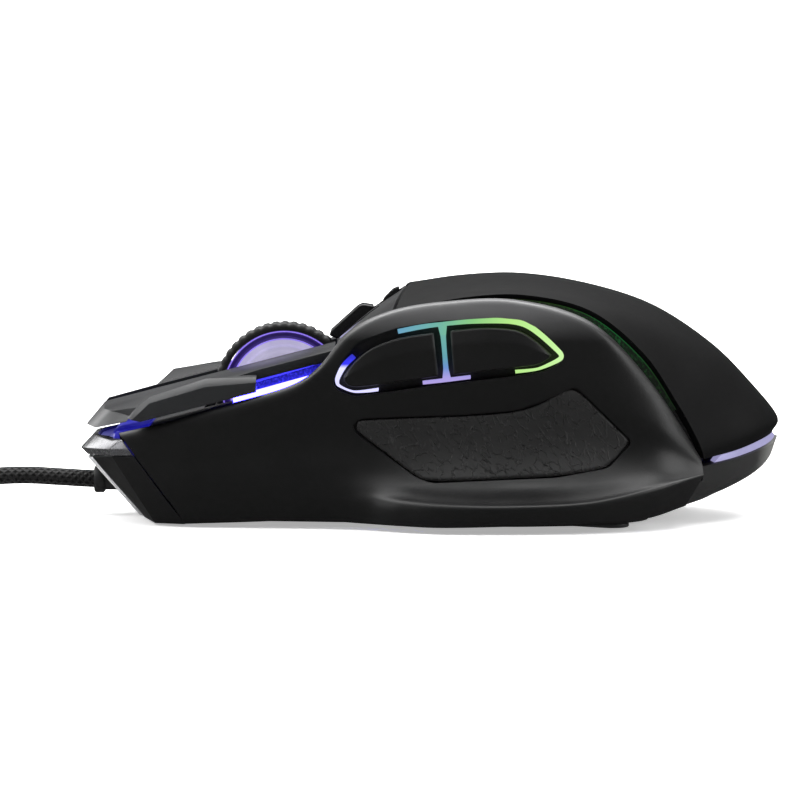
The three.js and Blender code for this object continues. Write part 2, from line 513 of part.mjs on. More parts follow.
function mainButton(side) {
  const sectionAt = (x) => BUTTON_SECTION.map(([y, drop]) => [x, side * y, buttonTop(x) + drop]);
  const net = [-64, -48, -32, -16].map(sectionAt);
  const plate = sheet(surfaceThrough(net), 6, 10, [0, -BUTTON.plate], side);
  const plan = [
    [BUTTON.rearX, BUTTON.inner], [-59.1, BUTTON.inner], [-58.9, 13.0], [-56.6, 17.2], [-55.0, 19.6],
    [-54.6, 23.6], [-50.2, 26.2], [-40.0, 27.3], [-31.0, 27.3], [-30.6, 23.6], [BUTTON.rearX, 23.9],
  ].map(([x, y]) => [x, side * y]);
  const crest = side > 0 ? [[-48.2, 24.2, 25.3], [-48.2, 25.8, 25.1], [-39.6, 24.6, 26.0]] : [];
  const edge = [
    [-54.2, 24.4, 19.6], [-54.4, 23.6, 19.4], [-50.4, 26.4, 19.9], [-50.0, 24.6, 23.2], [-50.0, 25.6, 23.0],
    [-40.0, 26.0, 26.1], [-40.0, 27.3, 25.0], [-31.0, 26.0, 27.2], [-31.0, 27.3, 26.6], [-40.0, 27.3, 22.6],
    [-31.0, 27.3, 24.4], [-31.0, 23.8, 28.0], [-31.0, 23.8, 25.0], [-50.0, 23.6, 21.4],
  ];
  const fin = hull([...crest, ...edge].map(([x, y, z]) => [x, side * y, z]));
  const across = side > 0 ? [11.5, 14.5] : [-14.5, -11.5];
  const along = [PLUNGER_X - 1.5, PLUNGER_X + 1.5];
  const plunger = box(along, across, [SWITCH_TOP + 0.9, buttonTop(PLUNGER_X) - 2.6]);
  const lipAt = ([y, back, drop]) => [
    [-59.1 + back, side * y, 20.9 + drop / 2],
    [-62.4 + back, side * y, 17.2],
    [-61.2 + back, side * y, 17.0],
    [-57.6 + back, side * y, 19.2 + drop / 2],
  ];
  const lip = hull([[5.2, 0, 0], [13.0, 0.6, -1.4], [17.2, 3.0, -1.7]].flatMap(lipAt));
  return union(plate.intersect(prismZ(plan, [0, 60])), fin, lip, plunger);
}

function addMainButtons() {
  place("left_button_plate", mainButton(-1), BUTTON_GREY);
  place("right_button_plate", mainButton(1), BUTTON_GREY);
}

// The deck closes the body under the buttons, with a slot for the wheel and a hole for each plunger.
function addButtonDeck() {
  const under = (x) => buttonTop(x) - 5.9;
  const lid = [[-52.6, 12.2], [-52.6, under(-52.6)], [-16.4, under(-16.4)], [-16.4, 19.6], [-48, 12.2]];
  const inside = [[-51.2, 9], [-51.2, under(-51.2) - WALL], [-15, under(-15) - WALL], [-15, 9]];
  const along = [PLUNGER_X - 1.9, PLUNGER_X + 1.9];
  const holes = [[11.1, 14.9], [-14.9, -11.1]].map((across) => box(along, across, [0, 40]));
  const slot = box([-41.2, -10], [-WHEEL_ROOM.halfWidth, WHEEL_ROOM.halfWidth], [0, 50]);
  const cradleRoom = box([-31.4, -21.8], [-10.4, 10.4], [0, 50]);
  const deck = less(prismY(lid, [-21.2, 21.2]), prismY(inside, [-19.8, 19.8]), ...holes, slot, cradleRoom);
  place("button_deck", deck, FRAME_BLACK);
  for (const [name, side] of [["left_light_bar", -1], ["right_light_bar", 1]]) {
    const bar = [[-30.2, 19.6], [-30.2, 25.0], [-20.6, 27.2], [-20.6, 22.6]];
    place(name, prismY(bar, side > 0 ? [21.8, 23.0] : [-23.0, -21.8]), BLUE_LIGHT);
  }
}

// ---- thumb buttons and the light guide that frames them

function addThumbButtons() {
  const frame = less(
    sidePatch(thumbSurface, THUMB_WINDOW, 0.8, THUMB_REACH, [-0.3, -KEY.depth], 1),
    prismY(rounded(grown(FORWARD_BUTTON, GAP), 0.8), THUMB_REACH),
    prismY(rounded(grown(BACK_BUTTON, GAP), 0.8), THUMB_REACH),
  );
  place("thumb_light_guide", frame, THUMB_LIGHT);
  const slab = sheet(thumbSurface, 22, 12, [KEY.proud, -KEY.depth]);
  const outlines = { forward: FORWARD_BUTTON, back: BACK_BUTTON };
  for (const [name, x] of Object.entries(SIDE_SWITCHES)) {
    const plunger = box([x - 1.5, x + 1.5], [-29.4, -26.6], [30, 32.4]);
    const key = slab.intersect(prismY(rounded(outlines[name], 0.7), THUMB_REACH));
    place(`${name}_button`, union(key, plunger), SATIN_BLACK);
  }
}

// ---- light strips in the grooves round the palm cover

function addGrooveLights() {
  const thumbEdge = (t) => thumbSurface(0.63 + 0.31 * t, 1);
  const fingerEdge = (t) => fingerSurface(0.52 + 0.4 * t, 1);
  const down = () => new THREE.Vector3(-0.35, 0, -1);
  const downAndIn = () => new THREE.Vector3(-0.35, -0.7, -1);
  const left = grooveStrip(thumbEdge, (t) => palmSurface(t, 0), 14, 0.8, 1.2, down);
  const right = grooveStrip(fingerEdge, (t) => palmSurface(t, 1), 14, 0.8, 0.8, downAndIn);
  place("palm_light_left", left, GREEN_LIGHT);
  place("palm_light_right", right, GREEN_LIGHT);
  const rim = (t) => palmSurface(1, 0.05 + 0.9 * t);
  const tailRim = (t) => tailSurface(t, 1);
  const middle = new THREE.Vector3(40, 0, 13);
  const towardsMiddle = (a) => middle.clone().sub(a);
  place("tail_light_guide", grooveStrip(rim, tailRim, 16, 0.5, 1.4, towardsMiddle), PALE_LIGHT);
}

// ---- wheel

function addWheel() {
  const wheel = new THREE.Group();
  wheel.position.set(WHEEL.x, 0, WHEEL.z);
  mouse.add(wheel);
  const ring = (profile, segments) =>
    new THREE.LatheGeometry([...profile, profile[0]].map(([r, y]) => new THREE.Vector2(r, y)), segments);
  const { radius, tyre, axle } = WHEEL;
  const half = WHEEL.width / 2;
  const rimTop = radius - tyre;
  const tyreSection = [
    [rimTop, -half + 0.4], [radius - 0.4, -half], [radius, -half + 1], [radius, half - 1],
    [radius - 0.4, half], [rimTop, half - 0.4],
  ];
  const rimSection = [[rimTop - 1.5, -3], [rimTop - 0.2, -3.5], [rimTop - 0.2, 3.5], [rimTop - 1.5, 3]];
  const hubSection = [
    [axle + 0.15, -2.6], [3.2, -2.6], [3.4, -1.8], [7.6, -1.8], [8.2, -2.4], [rimTop - 1.7, -2.2],
    [rimTop - 1.7, 2.2], [8.2, 2.4], [7.6, 1.8], [3.4, 1.8], [3.2, 2.6], [axle + 0.15, 2.6],
  ];
  place("wheel_tyre", solidFrom(ring(tyreSection, 32)), RUBBER, wheel);
  place("wheel_rim", solidFrom(ring(rimSection, 32)), PALE_LIGHT, wheel);
  place("wheel_hub", solidFrom(ring(hubSection, 24)), PALE_LIGHT, wheel);
  place("wheel_axle", rod("y", [0, 0, 0], [-8.2, 8.2], axle, 16), STEEL, wheel);
}

function addWheelCarriage() {
  const axleHole = rod("y", [WHEEL.x, 0, WHEEL.z], [-12, 12], WHEEL.axle + SEAT, 16);
  const sides = [[-6.7, -5.4], [5.4, 6.7]].map((across) => box([-30, -23.2], across, [7.4, 25.2]));
  const floor = box([-30, -23.2], [-6.7, 6.7], [7.4, 8.9]);
  const tab = box([-29, -24.4], [-12, -6], [12.9, 14.3]);
  place("wheel_carriage", union(...sides, floor, tab).subtract(axleHole), FRAME_BLACK);
  const encoder = box([-30.4, -22.8], [7.1, 9.6], [16.6, 24.6]);
  place("wheel_encoder", encoder.subtract(axleHole), SWITCH_BODY);
}

// ---- electronics

function microSwitch(name, x, y) {
  const { length, width, height } = SWITCH;
  const body = box([-length / 2, length / 2], [-width / 2, width / 2], [0, height]);
  const button = box([-3.2, -0.8], [-1.3, 1.3], [height - 0.2, height + 0.4]);
  const mesh = place(name, union(body, button), SWITCH_BODY);
  mesh.position.set(x, y, BOARD[1] + SEAT);
}

function addElectronics() {
  const edge = [[-42.4, -16], [-40, -21], [28, -21], [36, -13], [36, 13], [28, 21], [-40, 21], [-42.4, 16]];
  const holes = SCREWS.map(([x, y]) => rod("z", [x, y, 0], [0, 9], SCREW.clear, 16));
  const board = less(prismZ(edge, BOARD), ...holes, rod("z", [SENSOR_X, 0, 0], [0, 9], 2.6, 16));
  const chip = box([16, 23], [-3.5, 3.5], [BOARD[1] - 0.2, BOARD[1] + 1.1]);
  place("main_board", union(board, chip), CIRCUIT);
  microSwitch("left_switch", -35.8, -13);
  microSwitch("right_switch", -35.8, 13);
  const clickBody = box([-28.6, -24.8], [-11.6, -7.4], [BOARD[1] + SEAT, 11.4]);
  const clickButton = rod("z", [-26.7, -9.5, 0], [11.2, 12.0], 1.1, 12);
  place("wheel_click_switch", union(clickBody, clickButton), SWITCH_BODY);
  const lens = union(rod("z", [SENSOR_X, 0, 0], [1.3, 3.9], 3.3, 20), box([-7, 11], [-5, 5], [2.8, 4.2]));
  place("sensor_lens", lens, glow(0xf0f4ff, 0x000000));
  place("motion_sensor", box([-3.6, 7.6], [-4.6, 4.6], [BOARD[1] + SEAT, 8.8]), SWITCH_BODY);
  place("cable_socket", box([-42, -39.4], [-4, 4], [BOARD[1] + SEAT, 9.2]), SWITCH_WHITE);

  place("side_board", box([-11, 18], [-22.6, -21.4], [22, 32.8]), CIRCUIT);
  for (const [name, x] of Object.entries(SIDE_SWITCHES))
    place(`${name}_switch`, box([x - 3, x + 3], [-25.5, -22.7], [29.2, 33.2]), SWITCH_BODY);
  const domes = [[-13.4, -11], [-8.2, -5.6]].map((across) => box(across, [-1.6, 1.6], [29, 31.0]));
  place("mode_key_board", union(box([-13.6, -4.6], [-5, 5], [28.2, 29.2]), ...domes), CIRCUIT);
}

// ---- underside

function addFeetAndScrews() {
  const stadium = [[-8, -3], [8, -3], [8, 3], [-8, 3]];
  const feet = {
    front_left: [-42, -11.6, 0.45],
    front_right: [-42, 11.6, -0.45],
    rear_left: [28, -21, -0.55],
    rear_right: [28, 21, 0.55],
  };
  for (const [where, [x, y, angle]] of Object.entries(feet)) {
    const foot = place(`glide_foot_${where}`, prismZ(rounded(stadium, 2.8), [0, FOOT]), GLIDE);
    foot.position.set(x, y, 0);
    foot.rotation.z = angle;
  }
  SCREWS.forEach(([x, y], i) => {
    const slot = box([-1.2, 1.2], [-0.25, 0.25], [0.9, 1.5]);
    const head = less(rod("z", [0, 0, 0], [1.1, 2.1], SCREW.head, 16), slot);
    const shank = rod("z", [0, 0, 0], [2.0, 8.6], SCREW.shank, 10);
    const screw = place(`case_screw_${i + 1}`, union(head, shank), STEEL);
    screw.position.set(x, y, 0);
  });
}

// ---- cable

const BUNDLE = COIL.turnsAcross * COIL.pitch;

// The lead leaves the nose level, sinks to the table and runs in beside the coil.
const LEAD_ROUTE = [
  [-59.8, 0.0, 6.5], [-63.0, 0.0, 6.6], [-68.0, 0.0, 6.9], [-74.0, 0.0, 7.2], [-80.0, 0.5, 6.9],
  [-85.5, 3.0, 5.6], [-90.0, 7.4, 3.8], [-94.2, 12.6, 2.4], [-98.8, 16.4, 1.8], [-104.0, 18.4, 1.7],
];
const TAIL_ROUTE = [
  [-137.4, 9.8, 3.2], [-141.2, 6.0, 2.2], [-144.6, 1.4, 1.9], [-147.0, -4.0, 2.2], [-148.4, -9.0, 3.2],
  [-148.8, -12.4, 4.0],
];
const PLUG = { x: -148.8, y: -12.8, z: 4.0, grip: 22, width: 15, height: 7.6, shell: 14 };

function tube(points, steps) {
  const sides = 8;
  const section = new THREE.Shape();
  for (let i = 0; i < sides; i++) {
    const angle = ((i + 0.5) * 2 * Math.PI) / sides;
    const [x, y] = [Math.cos(angle), Math.sin(angle)].map((share) => (share * CABLE.diameter) / 2);
    if (i) section.lineTo(x, y);
    else section.moveTo(x, y);
  }
  section.closePath();
  const extrudePath = new THREE.CatmullRomCurve3(points.map((p) => new THREE.Vector3(...p)));
  return solidFrom(new THREE.ExtrudeGeometry(section, { extrudePath, steps, bevelEnabled: false }));
}

function addCable() {
  const [x, y, z] = CABLE.exit;
  const relief = union(
    rod("x", [0, y, z], [x - 3.4, x - 1.2], 2.9, 20),
    rod("x", [0, y, z], [x - 1.4, x + 12.6], 2.1, 20),
    rod("x", [0, y, z], [x + 10.8, x + 12.6], 2.6, 20),
  );
  const cordHole = rod("x", [0, y, z], [-70, x - 0.8], CABLE.diameter / 2 + 0.3, 16);
  place("strain_relief", less(relief, cordHole), RUBBER);
  place("cable_lead", tube(LEAD_ROUTE, 26), BRAID);

  const [r, h, soft] = [BUNDLE / 2, BUNDLE, 1.4];
  const section = [
    [-r, soft], [-r + soft, 0], [r - soft, 0], [r, soft],
    [r, h - soft], [r - soft, h], [soft - r, h], [-r, h - soft],
  ];
  const profile = [...section, section[0]].map(([dx, dz]) => new THREE.Vector2(COIL.radius + dx, dz));
  const ring = place("cable_coil", solidFrom(new THREE.LatheGeometry(profile, 28)), BRAID);
  ring.rotation.x = Math.PI / 2;
  ring.position.set(COIL.x, COIL.y, 0.05);

  const strap = less(
    box([-r - 1.5, r + 1.5], [-3, 3], [0.02, h + 1.5]),
    box([-r - 0.5, r + 0.5], [-4, 4], [-1, h + 0.5]),
  );
  const tie = place("cable_tie", strap, RUBBER);
  tie.position.set(COIL.x + COIL.radius, COIL.y, 0);

  place("cable_tail", tube(TAIL_ROUTE, 12), BRAID);
  addPlug();
}

function addPlug() {
  const { grip, width, height, shell } = PLUG;
  const plug = new THREE.Group();
  plug.position.set(PLUG.x, PLUG.y, PLUG.z);
  plug.rotation.z = -Math.PI / 2;
  mouse.add(plug);
  const plan = [[4, -width / 2], [grip, -width / 2], [grip, width / 2], [4, width / 2]];
  const handle = prismZ(rounded(plan, 2), [-height / 2, height / 2]);
  const sleeve = rod("x", [0, 0, 0], [0.2, 5], 2.6, 16, 3.4);
  place("plug_grip", union(handle, sleeve), RUBBER, plug);
  const from = grip + 0.3;
  const can = less(
    box([from, from + shell], [-6, 6], [-2.25, 2.25]),
    box([from + 1, from + shell + 1], [-5.6, 5.6], [-1.85, 1.85]),
  );
  place("plug_shell", can, STEEL, plug);
  place("plug_tongue", box([from + 1.2, from + shell - 1], [-5.3, 5.3], [-1.6, 0.2]), SWITCH_WHITE, plug);
}

addSideShells();
addPalmCover();
addBase();
addBridge();
addModeKeys();
addNose();
addMainButtons();
addButtonDeck();
addThumbButtons();
addGrooveLights();
addWheel();
addWheelCarriage();
addElectronics();
addFeetAndScrews();
addCable();

export default mouse;
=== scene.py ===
"""The looks of a right-handed gaming mouse: its moulded skins, lit strips, treaded wheel and braided cable.

-X is the nose, -Y the thumb side and +Z up. Guide points are in millimetres, and pieces are made in metres.
"""

import json
import math

import bmesh
import bpy
import numpy as np
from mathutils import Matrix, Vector
from mathutils.bvhtree import BVHTree


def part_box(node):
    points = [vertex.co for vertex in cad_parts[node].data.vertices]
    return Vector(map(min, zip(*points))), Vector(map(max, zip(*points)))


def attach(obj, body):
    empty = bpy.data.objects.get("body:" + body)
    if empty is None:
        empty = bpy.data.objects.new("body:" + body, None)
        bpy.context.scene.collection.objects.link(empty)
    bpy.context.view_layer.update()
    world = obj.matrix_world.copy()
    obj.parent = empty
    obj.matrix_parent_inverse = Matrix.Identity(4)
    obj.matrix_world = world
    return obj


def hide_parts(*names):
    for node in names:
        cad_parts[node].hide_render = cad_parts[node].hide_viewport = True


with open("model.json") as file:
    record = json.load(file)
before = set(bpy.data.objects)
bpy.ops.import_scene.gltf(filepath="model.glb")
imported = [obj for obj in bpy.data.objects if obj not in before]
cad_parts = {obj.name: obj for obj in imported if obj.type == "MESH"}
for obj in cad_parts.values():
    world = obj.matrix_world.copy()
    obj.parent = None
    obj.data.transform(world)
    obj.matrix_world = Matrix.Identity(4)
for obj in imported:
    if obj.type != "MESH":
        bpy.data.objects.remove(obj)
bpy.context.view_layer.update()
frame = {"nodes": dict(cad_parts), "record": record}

MM = 0.001

# ------------------------------------------------------------------ camera


def aim_camera():
    camera = bpy.data.objects.new("studio_camera", bpy.data.cameras.new("studio_camera"))
    bpy.context.scene.collection.objects.link(camera)
    stand, target = Vector((-0.0055, -0.7981, 0.0768)), Vector((-0.0055, 0.0, 0.021))
    camera.location = stand
    camera.rotation_euler = (target - stand).to_track_quat("-Z", "Y").to_euler()
    camera.data.lens = 196.3
    camera.data.sensor_width = 36
    bpy.context.scene.camera = camera


# ------------------------------------------------------------------ making pieces


def new_piece(name, bm):
    mesh = bpy.data.meshes.new(name)
    bm.to_mesh(mesh)
    bm.free()
    piece = bpy.data.objects.new(name, mesh)
    bpy.context.scene.collection.objects.link(piece)
    return piece


def settle(piece):
    """Makes a piece's modifiers part of its mesh."""
    bpy.context.view_layer.update()
    made = bpy.data.meshes.new_from_object(piece.evaluated_get(bpy.context.evaluated_depsgraph_get()))
    made.name = piece.name
    piece.modifiers.clear()
    piece.data = made
    return piece


def dress(piece, material, body, *nodes, slot=None, crease=35):
    """Gives a piece its finish and the body that it moves with, and hides the CAD nodes that it stands for.
    """
    piece.data.materials.clear()
    piece.data.materials.append(material)
    piece.data.shade_smooth()
    piece.data.set_sharp_from_angle(angle=math.radians(crease))
    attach(piece, body)
    if nodes:
        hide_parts(*nodes)
    return piece


def trim(piece, tool, operation="DIFFERENCE"):
    """Cuts a piece with a tool, which is used up."""
    modifier = piece.modifiers.new("trim", "BOOLEAN")
    modifier.operation, modifier.solver, modifier.object = operation, "MANIFOLD", tool
    settle(piece)
    bpy.data.objects.remove(tool)
    return piece


def soften(piece, width, segments=3, angle=25):
    """Rounds a piece's edges."""
    modifier = piece.modifiers.new("soften", "BEVEL")
    modifier.width, modifier.segments = width * MM, segments
    modifier.limit_method, modifier.angle_limit = "ANGLE", math.radians(angle)
    modifier.harden_normals = False
    return settle(piece)


def thicken(piece, wall):
    """Gives a sheet its wall, inwards from its outer face."""
    modifier = piece.modifiers.new("wall", "SOLIDIFY")
    modifier.thickness, modifier.offset, modifier.use_even_offset = wall * MM, -1, False
    return settle(piece)


def guide_shares(count, places):
    """How much each guide point of a row counts at each place, from 0 to 1, along a smooth line."""
    shares = np.zeros((len(places), count))
    for row, place in zip(shares, places):
        at = min(max(place, 0.0), 1.0) * (count - 1)
        i = min(int(at), count - 2)
        t = at - i
        four = ((-t + 2 * t**2 - t**3) / 2, (2 - 5 * t**2 + 3 * t**3) / 2, (t + 4 * t**2 - 3 * t**3) / 2,
                (t**3 - t**2) / 2)
        for k, share in zip(range(i - 1, i + 3), four):
            if k < 0:
                row[0] += 2 * share
                row[1] -= share
            elif k == count:
                row[count - 1] += 2 * share
                row[count - 2] -= share
            else:
                row[k] += share
    return shares


def flow(net, rows, columns, ironing=10):
    """Points of the smooth surface through a net of guide points, with the net's small kinks ironed out."""
    along = guide_shares(len(net), np.linspace(0, 1, rows + 1))
    across = guide_shares(len(net[0]), np.linspace(0, 1, columns + 1))
    points = np.einsum("ai,ijk,bj->abk", along, np.array(net, float), across)
    for _ in range(ironing):
        middle = (points[:-2, 1:-1] + points[2:, 1:-1] + points[1:-1, :-2] + points[1:-1, 2:]) / 4
        points[1:-1, 1:-1] += 0.5 * (middle - points[1:-1, 1:-1])
    return points


def smooth_line(points, count):
    """Evenly spread points on the smooth line through some guide points."""
    points = np.array(points, float)
    fine = guide_shares(len(points), np.linspace(0, 1, 60 * len(points))) @ points
    run = np.concatenate([[0], np.cumsum(np.linalg.norm(np.diff(fine, axis=0), axis=1))])
    places = np.linspace(0, run[-1], count)
    return np.stack([np.interp(places, run, fine[:, k]) for k in range(points.shape[1])], 1)


def lay_sheet(name, points, outwards):
    """A grid laid onto rows of points, facing outwards. Its UV map runs over the grid."""
    bm = bmesh.new()
    bm.loops.layers.uv.new("sheet")
    rows, columns = points.shape[0] - 1, points.shape[1] - 1
    bmesh.ops.create_grid(bm, x_segments=columns, y_segments=rows, size=0.5, calc_uvs=True)
    for vertex, place in zip(bm.verts, points.reshape(-1, 3)):
        vertex.co = Vector(place) * MM
    bm.normal_update()
    if sum(face.normal.dot(Vector(outwards)) * face.calc_area() for face in bm.faces) < 0:
        bmesh.ops.reverse_faces(bm, faces=bm.faces)
    return new_piece(name, bm)


def rectangle(left, bottom, right, top):
    return [(left, bottom), (right, bottom), (right, top), (left, top)]


def circle(a, b, radius, sides):
    turns = np.linspace(0, math.tau, sides + 1)[:-1]
    return [(a + radius * math.cos(turn), b + radius * math.sin(turn)) for turn in turns]


def only_verts(geometry):
    return [part for part in geometry if isinstance(part, bmesh.types.BMVert)]


def block(name, outline, low, high, axis="Y", rounding=0.0, steps=5):
    """A block on an outline, with its upright corners rounded. The outline lies across the axis."""

    def place(a, b, depth):
        return {"Y": (a, depth, b), "Z": (a, b, depth), "X": (depth, a, b)}[axis]

    bm = bmesh.new()
    corners = [bm.verts.new(Vector(place(a, b, low)) * MM) for a, b in outline]
    bm.faces.new(corners)
    if rounding:
        bmesh.ops.bevel(
            bm, geom=corners, offset=rounding * MM, segments=steps, profile=0.5, affect="VERTICES",
            clamp_overlap=True, material=-1
        )
    grown = bmesh.ops.extrude_face_region(bm, geom=bm.faces[:])
    moved = only_verts(grown["geom"])
    bmesh.ops.translate(bm, vec=Vector(place(0, 0, high - low)) * MM, verts=moved)
    bmesh.ops.recalc_face_normals(bm, faces=bm.faces)
    return new_piece(name, bm)


def carved(name, points, bevel=0.35, segments=3, side=1):
    """A faceted moulding: the tight skin round some corner points, with its edges rounded."""
    bm = bmesh.new()
    for x, y, z in points:
        bm.verts.new((x * MM, y * side * MM, z * MM))
    made = bmesh.ops.convex_hull(bm, input=bm.verts)
    bmesh.ops.delete(bm, geom=only_verts(made["geom_interior"]), context="VERTS")
    bmesh.ops.dissolve_limit(bm, angle_limit=math.radians(2), verts=bm.verts, edges=bm.edges)
    bmesh.ops.recalc_face_normals(bm, faces=bm.faces)
    if bevel:
        bmesh.ops.bevel(
            bm, geom=bm.edges[:], offset=bevel * MM, segments=segments, profile=0.5, affect="EDGES",
            clamp_overlap=True, material=-1
        )
    return new_piece(name, bm)


def both_sides(points):
    return [(x, y * side, z) for x, y, z in points for side in (-1, 1)]


def turned(name, profile, steps, centre, axis="Y"):
    """A ring turned from a closed profile of (radius, height) points, about an axis through a centre."""
    bm = bmesh.new()
    line = [bm.verts.new((r * MM, 0, h * MM)) for r, h in profile]
    edges = [bm.edges.new((a, b)) for a, b in zip(line, line[1:] + line[:1])]
    bmesh.ops.spin(
        bm, geom=line + edges, cent=(0, 0, 0), axis=(0, 0, 1), angle=math.tau, steps=steps, use_merge=True,
        use_duplicate=False
    )
    bmesh.ops.remove_doubles(bm, verts=bm.verts, dist=1e-7)
    for vertex in bm.verts:
        x, y, z = vertex.co
        vertex.co = Vector({"Y": (x, z, -y), "Z": (x, y, z), "X": (z, x, y)}[axis]) + Vector(centre) * MM
    bmesh.ops.recalc_face_normals(bm, faces=bm.faces)
    return new_piece(name, bm)


def joined(name, *parts):
    """Several meshes as one piece."""
    bm = bmesh.new()
    for part in parts:
        bm.from_mesh(part.data)
        bpy.data.objects.remove(part)
    return new_piece(name, bm)


# ------------------------------------------------------------------ finishes


class Finish:
    """A material in the making. Patterns lie on the piece's own coordinates, in metres."""

    def __init__(self, name, colour, roughness, **sockets):
        self.material = bpy.data.materials.new(name)
        self.material.use_nodes = True
        self.tree = self.material.node_tree
        self.shader = self.tree.nodes["Principled BSDF"]
        self.colour = (*colour, 1.0)
        self.set(**{"Base Color": self.colour, "Roughness": roughness}, **sockets)
        self.place = self.add("TexCoord").outputs["Object"]

    def set(self, **sockets):
        for key, value in sockets.items():
            key = key.replace("_", " ")
            if isinstance(value, bpy.types.NodeSocket):
                self.tree.links.new(value, self.shader.inputs[key])
            else:
                self.shader.inputs[key].default_value = value

    def add(self, kind, inputs=(), **settings):
        made = self.tree.nodes.new("ShaderNode" + kind)
        for key, value in settings.items():
            setattr(made, key, value)
        for key, value in dict(inputs).items():
            if isinstance(value, bpy.types.NodeSocket):
                self.tree.links.new(value, made.inputs[key])
            else:
                made.inputs[key].default_value = value
        return made

    def noise(self, scale, detail=2.0, roughness=0.5, place=None):
        inputs = {"Vector": place or self.place, "Scale": scale, "Detail": detail, "Roughness": roughness}
        return self.add("TexNoise", inputs).outputs["Fac"]

    def sums(self, operation, a, b=0.5, c=0.5):
        made = self.add("Math", operation=operation)
        for slot, value in zip(made.inputs, (a, b, c)):
            if isinstance(value, bpy.types.NodeSocket):
                self.tree.links.new(value, slot)
            else:
                slot.default_value = value
        return made.outputs[0]

    def between(self, share, low, high):
        """A number from low to high as share goes from 0.35 to 0.65, which is most of a noise's span."""
        inputs = {"Value": share, "From Min": 0.35, "From Max": 0.65, "To Min": low, "To Max": high}
        return self.add("MapRange", inputs).outputs["Result"]

    def ramp(self, share, *stops):
        made = self.add("ValToRGB", {"Fac": share})
        marks = made.color_ramp.elements
        while len(marks) < len(stops):
            marks.new(0.5)
        for mark, (place, colour) in zip(marks, stops):
            mark.position = place
            mark.color = (*colour, 1.0)
        return made.outputs["Color"]

    def along(self, axis, low, high):
        """0 to 1 along a row axis, between two places in millimetres."""
        part = self.add("SeparateXYZ", {"Vector": self.place}).outputs[axis]
        inputs = {"Value": part, "From Min": low * MM, "From Max": high * MM}
        return self.add("MapRange", inputs).outputs["Result"]

    def mottle(self, share, strength=0.2):
        """Makes the colour a little lighter and darker in patches."""
        low = tuple(c * (1 - strength) for c in self.colour[:3])
        high = tuple(c * (1 + strength) for c in self.colour[:3])
        self.set(**{"Base Color": self.ramp(share, (0.35, low), (0.65, high))})

    def relief(self, height, depth, strength=1.0, under=None):
        inputs = {"Height": height, "Distance": depth * MM, "Strength": strength}
        if under:
            inputs["Normal"] = under
        normal = self.add("Bump", inputs).outputs["Normal"]
        self.set(Normal=normal)
        return normal


def moulded(name, colour, roughness, grain=0.3, depth=0.012, spread=0.06, **sockets):
    """A moulded surface: fine spark-eroded grain, and slight changes of tone and gloss over its length."""
    finish = Finish(name, colour, roughness, **sockets)
    finish.mottle(finish.noise(35, 3), 0.08)
    fine = finish.noise(1 / (grain * MM), 2, 0.6)
    wide = finish.noise(90, 2)
    gloss = finish.sums("ADD", finish.between(wide, -spread, spread), roughness)
    finish.set(Roughness=gloss)
    finish.relief(fine, depth)
    return finish


def satin_with_painted_crest_highlight():
    """The side shells' satin black, with a painted highlight along the crest: its colour is lighter and its
    specular stronger there.
    """
    finish = moulded("satin_with_painted_crest_highlight", (0.0045, 0.0045, 0.0047), 0.42, 0.22, 0.012)
    # Painted highlight: the colour lightens and the specular rises along this crest band.
    crest = finish.sums("MULTIPLY", finish.along("Z", 33.5, 39.0), finish.along("X", 42.0, 16.0))
    finish.set(**{"Specular IOR Level": finish.sums("ADD", finish.sums("MULTIPLY", crest, 0.58), 0.4),
                  "Base Color": finish.ramp(crest, (0.0, (0.0045, 0.0045, 0.0047)),
                                            (1.0, (0.075, 0.075, 0.077)))})
    return finish


def grip_rubber():
    """Soft rubber with short wavy creases, as a moulded leather pattern has."""
    finish = Finish("grip_rubber", (0.005, 0.005, 0.005), 0.6, Specular_IOR_Level=0.36)
    tilted = finish.add("Mapping",
                        {"Vector": finish.place, "Rotation": (0, math.radians(38), 0)}).outputs["Vector"]
    stretched = finish.add("Mapping", {"Vector": tilted, "Scale": (1.0, 0.6, 0.4)}).outputs["Vector"]
    wave = finish.add("VectorMath", {0: stretched}, operation="ADD")
    bend = finish.noise(700, 2, 0.5, stretched)
    push = finish.add("CombineXYZ", {"X": finish.sums("MULTIPLY", bend, 0.0022),
                                     "Z": finish.sums("MULTIPLY", bend, 0.0012)})
    finish.tree.links.new(push.outputs[0], wave.inputs[1])
    cells = finish.add("TexVoronoi", {"Vector": wave.outputs[0], "Scale": 980.0},
                       feature="DISTANCE_TO_EDGE").outputs["Distance"]
    line = finish.add("MapRange", {"Value": cells, "From Min": 0.0, "From Max": 0.09, "To Min": 1.0,
                                   "To Max": 0.0},
                      interpolation_type="SMOOTHSTEP").outputs["Result"]
    kept = finish.add("MapRange", {"Value": finish.noise(760, 2), "From Min": 0.42,
                                   "From Max": 0.58}).outputs["Result"]
    crease = finish.sums("MULTIPLY", line, kept)
    finish.set(**{"Base Color": finish.ramp(finish.noise(45, 3), (0.3, (0.011, 0.011, 0.011)),
                                            (0.7, (0.016, 0.016, 0.016)))})
    finish.set(Roughness=finish.sums("ADD", finish.between(finish.noise(60), -0.05, 0.05), 0.5))
    soft = finish.relief(finish.noise(3800, 2), 0.02)
    finish.relief(crease, 0.3, 1.0, soft)
    return finish.material


def lit(name, colour, strength, body_colour=None, **sockets):
    """A milky light guide, a little uneven along its length."""
    finish = Finish(name, body_colour or colour, 0.3, **sockets)
    cloud = finish.noise(180, 2)
    dim, full = tuple(c * 0.8 for c in colour), colour
    finish.set(**{"Emission Color": finish.ramp(cloud, (0.35, dim), (0.65, full)),
                  "Emission Strength": strength})
    finish.relief(finish.noise(2500, 2), 0.01)
    return finish


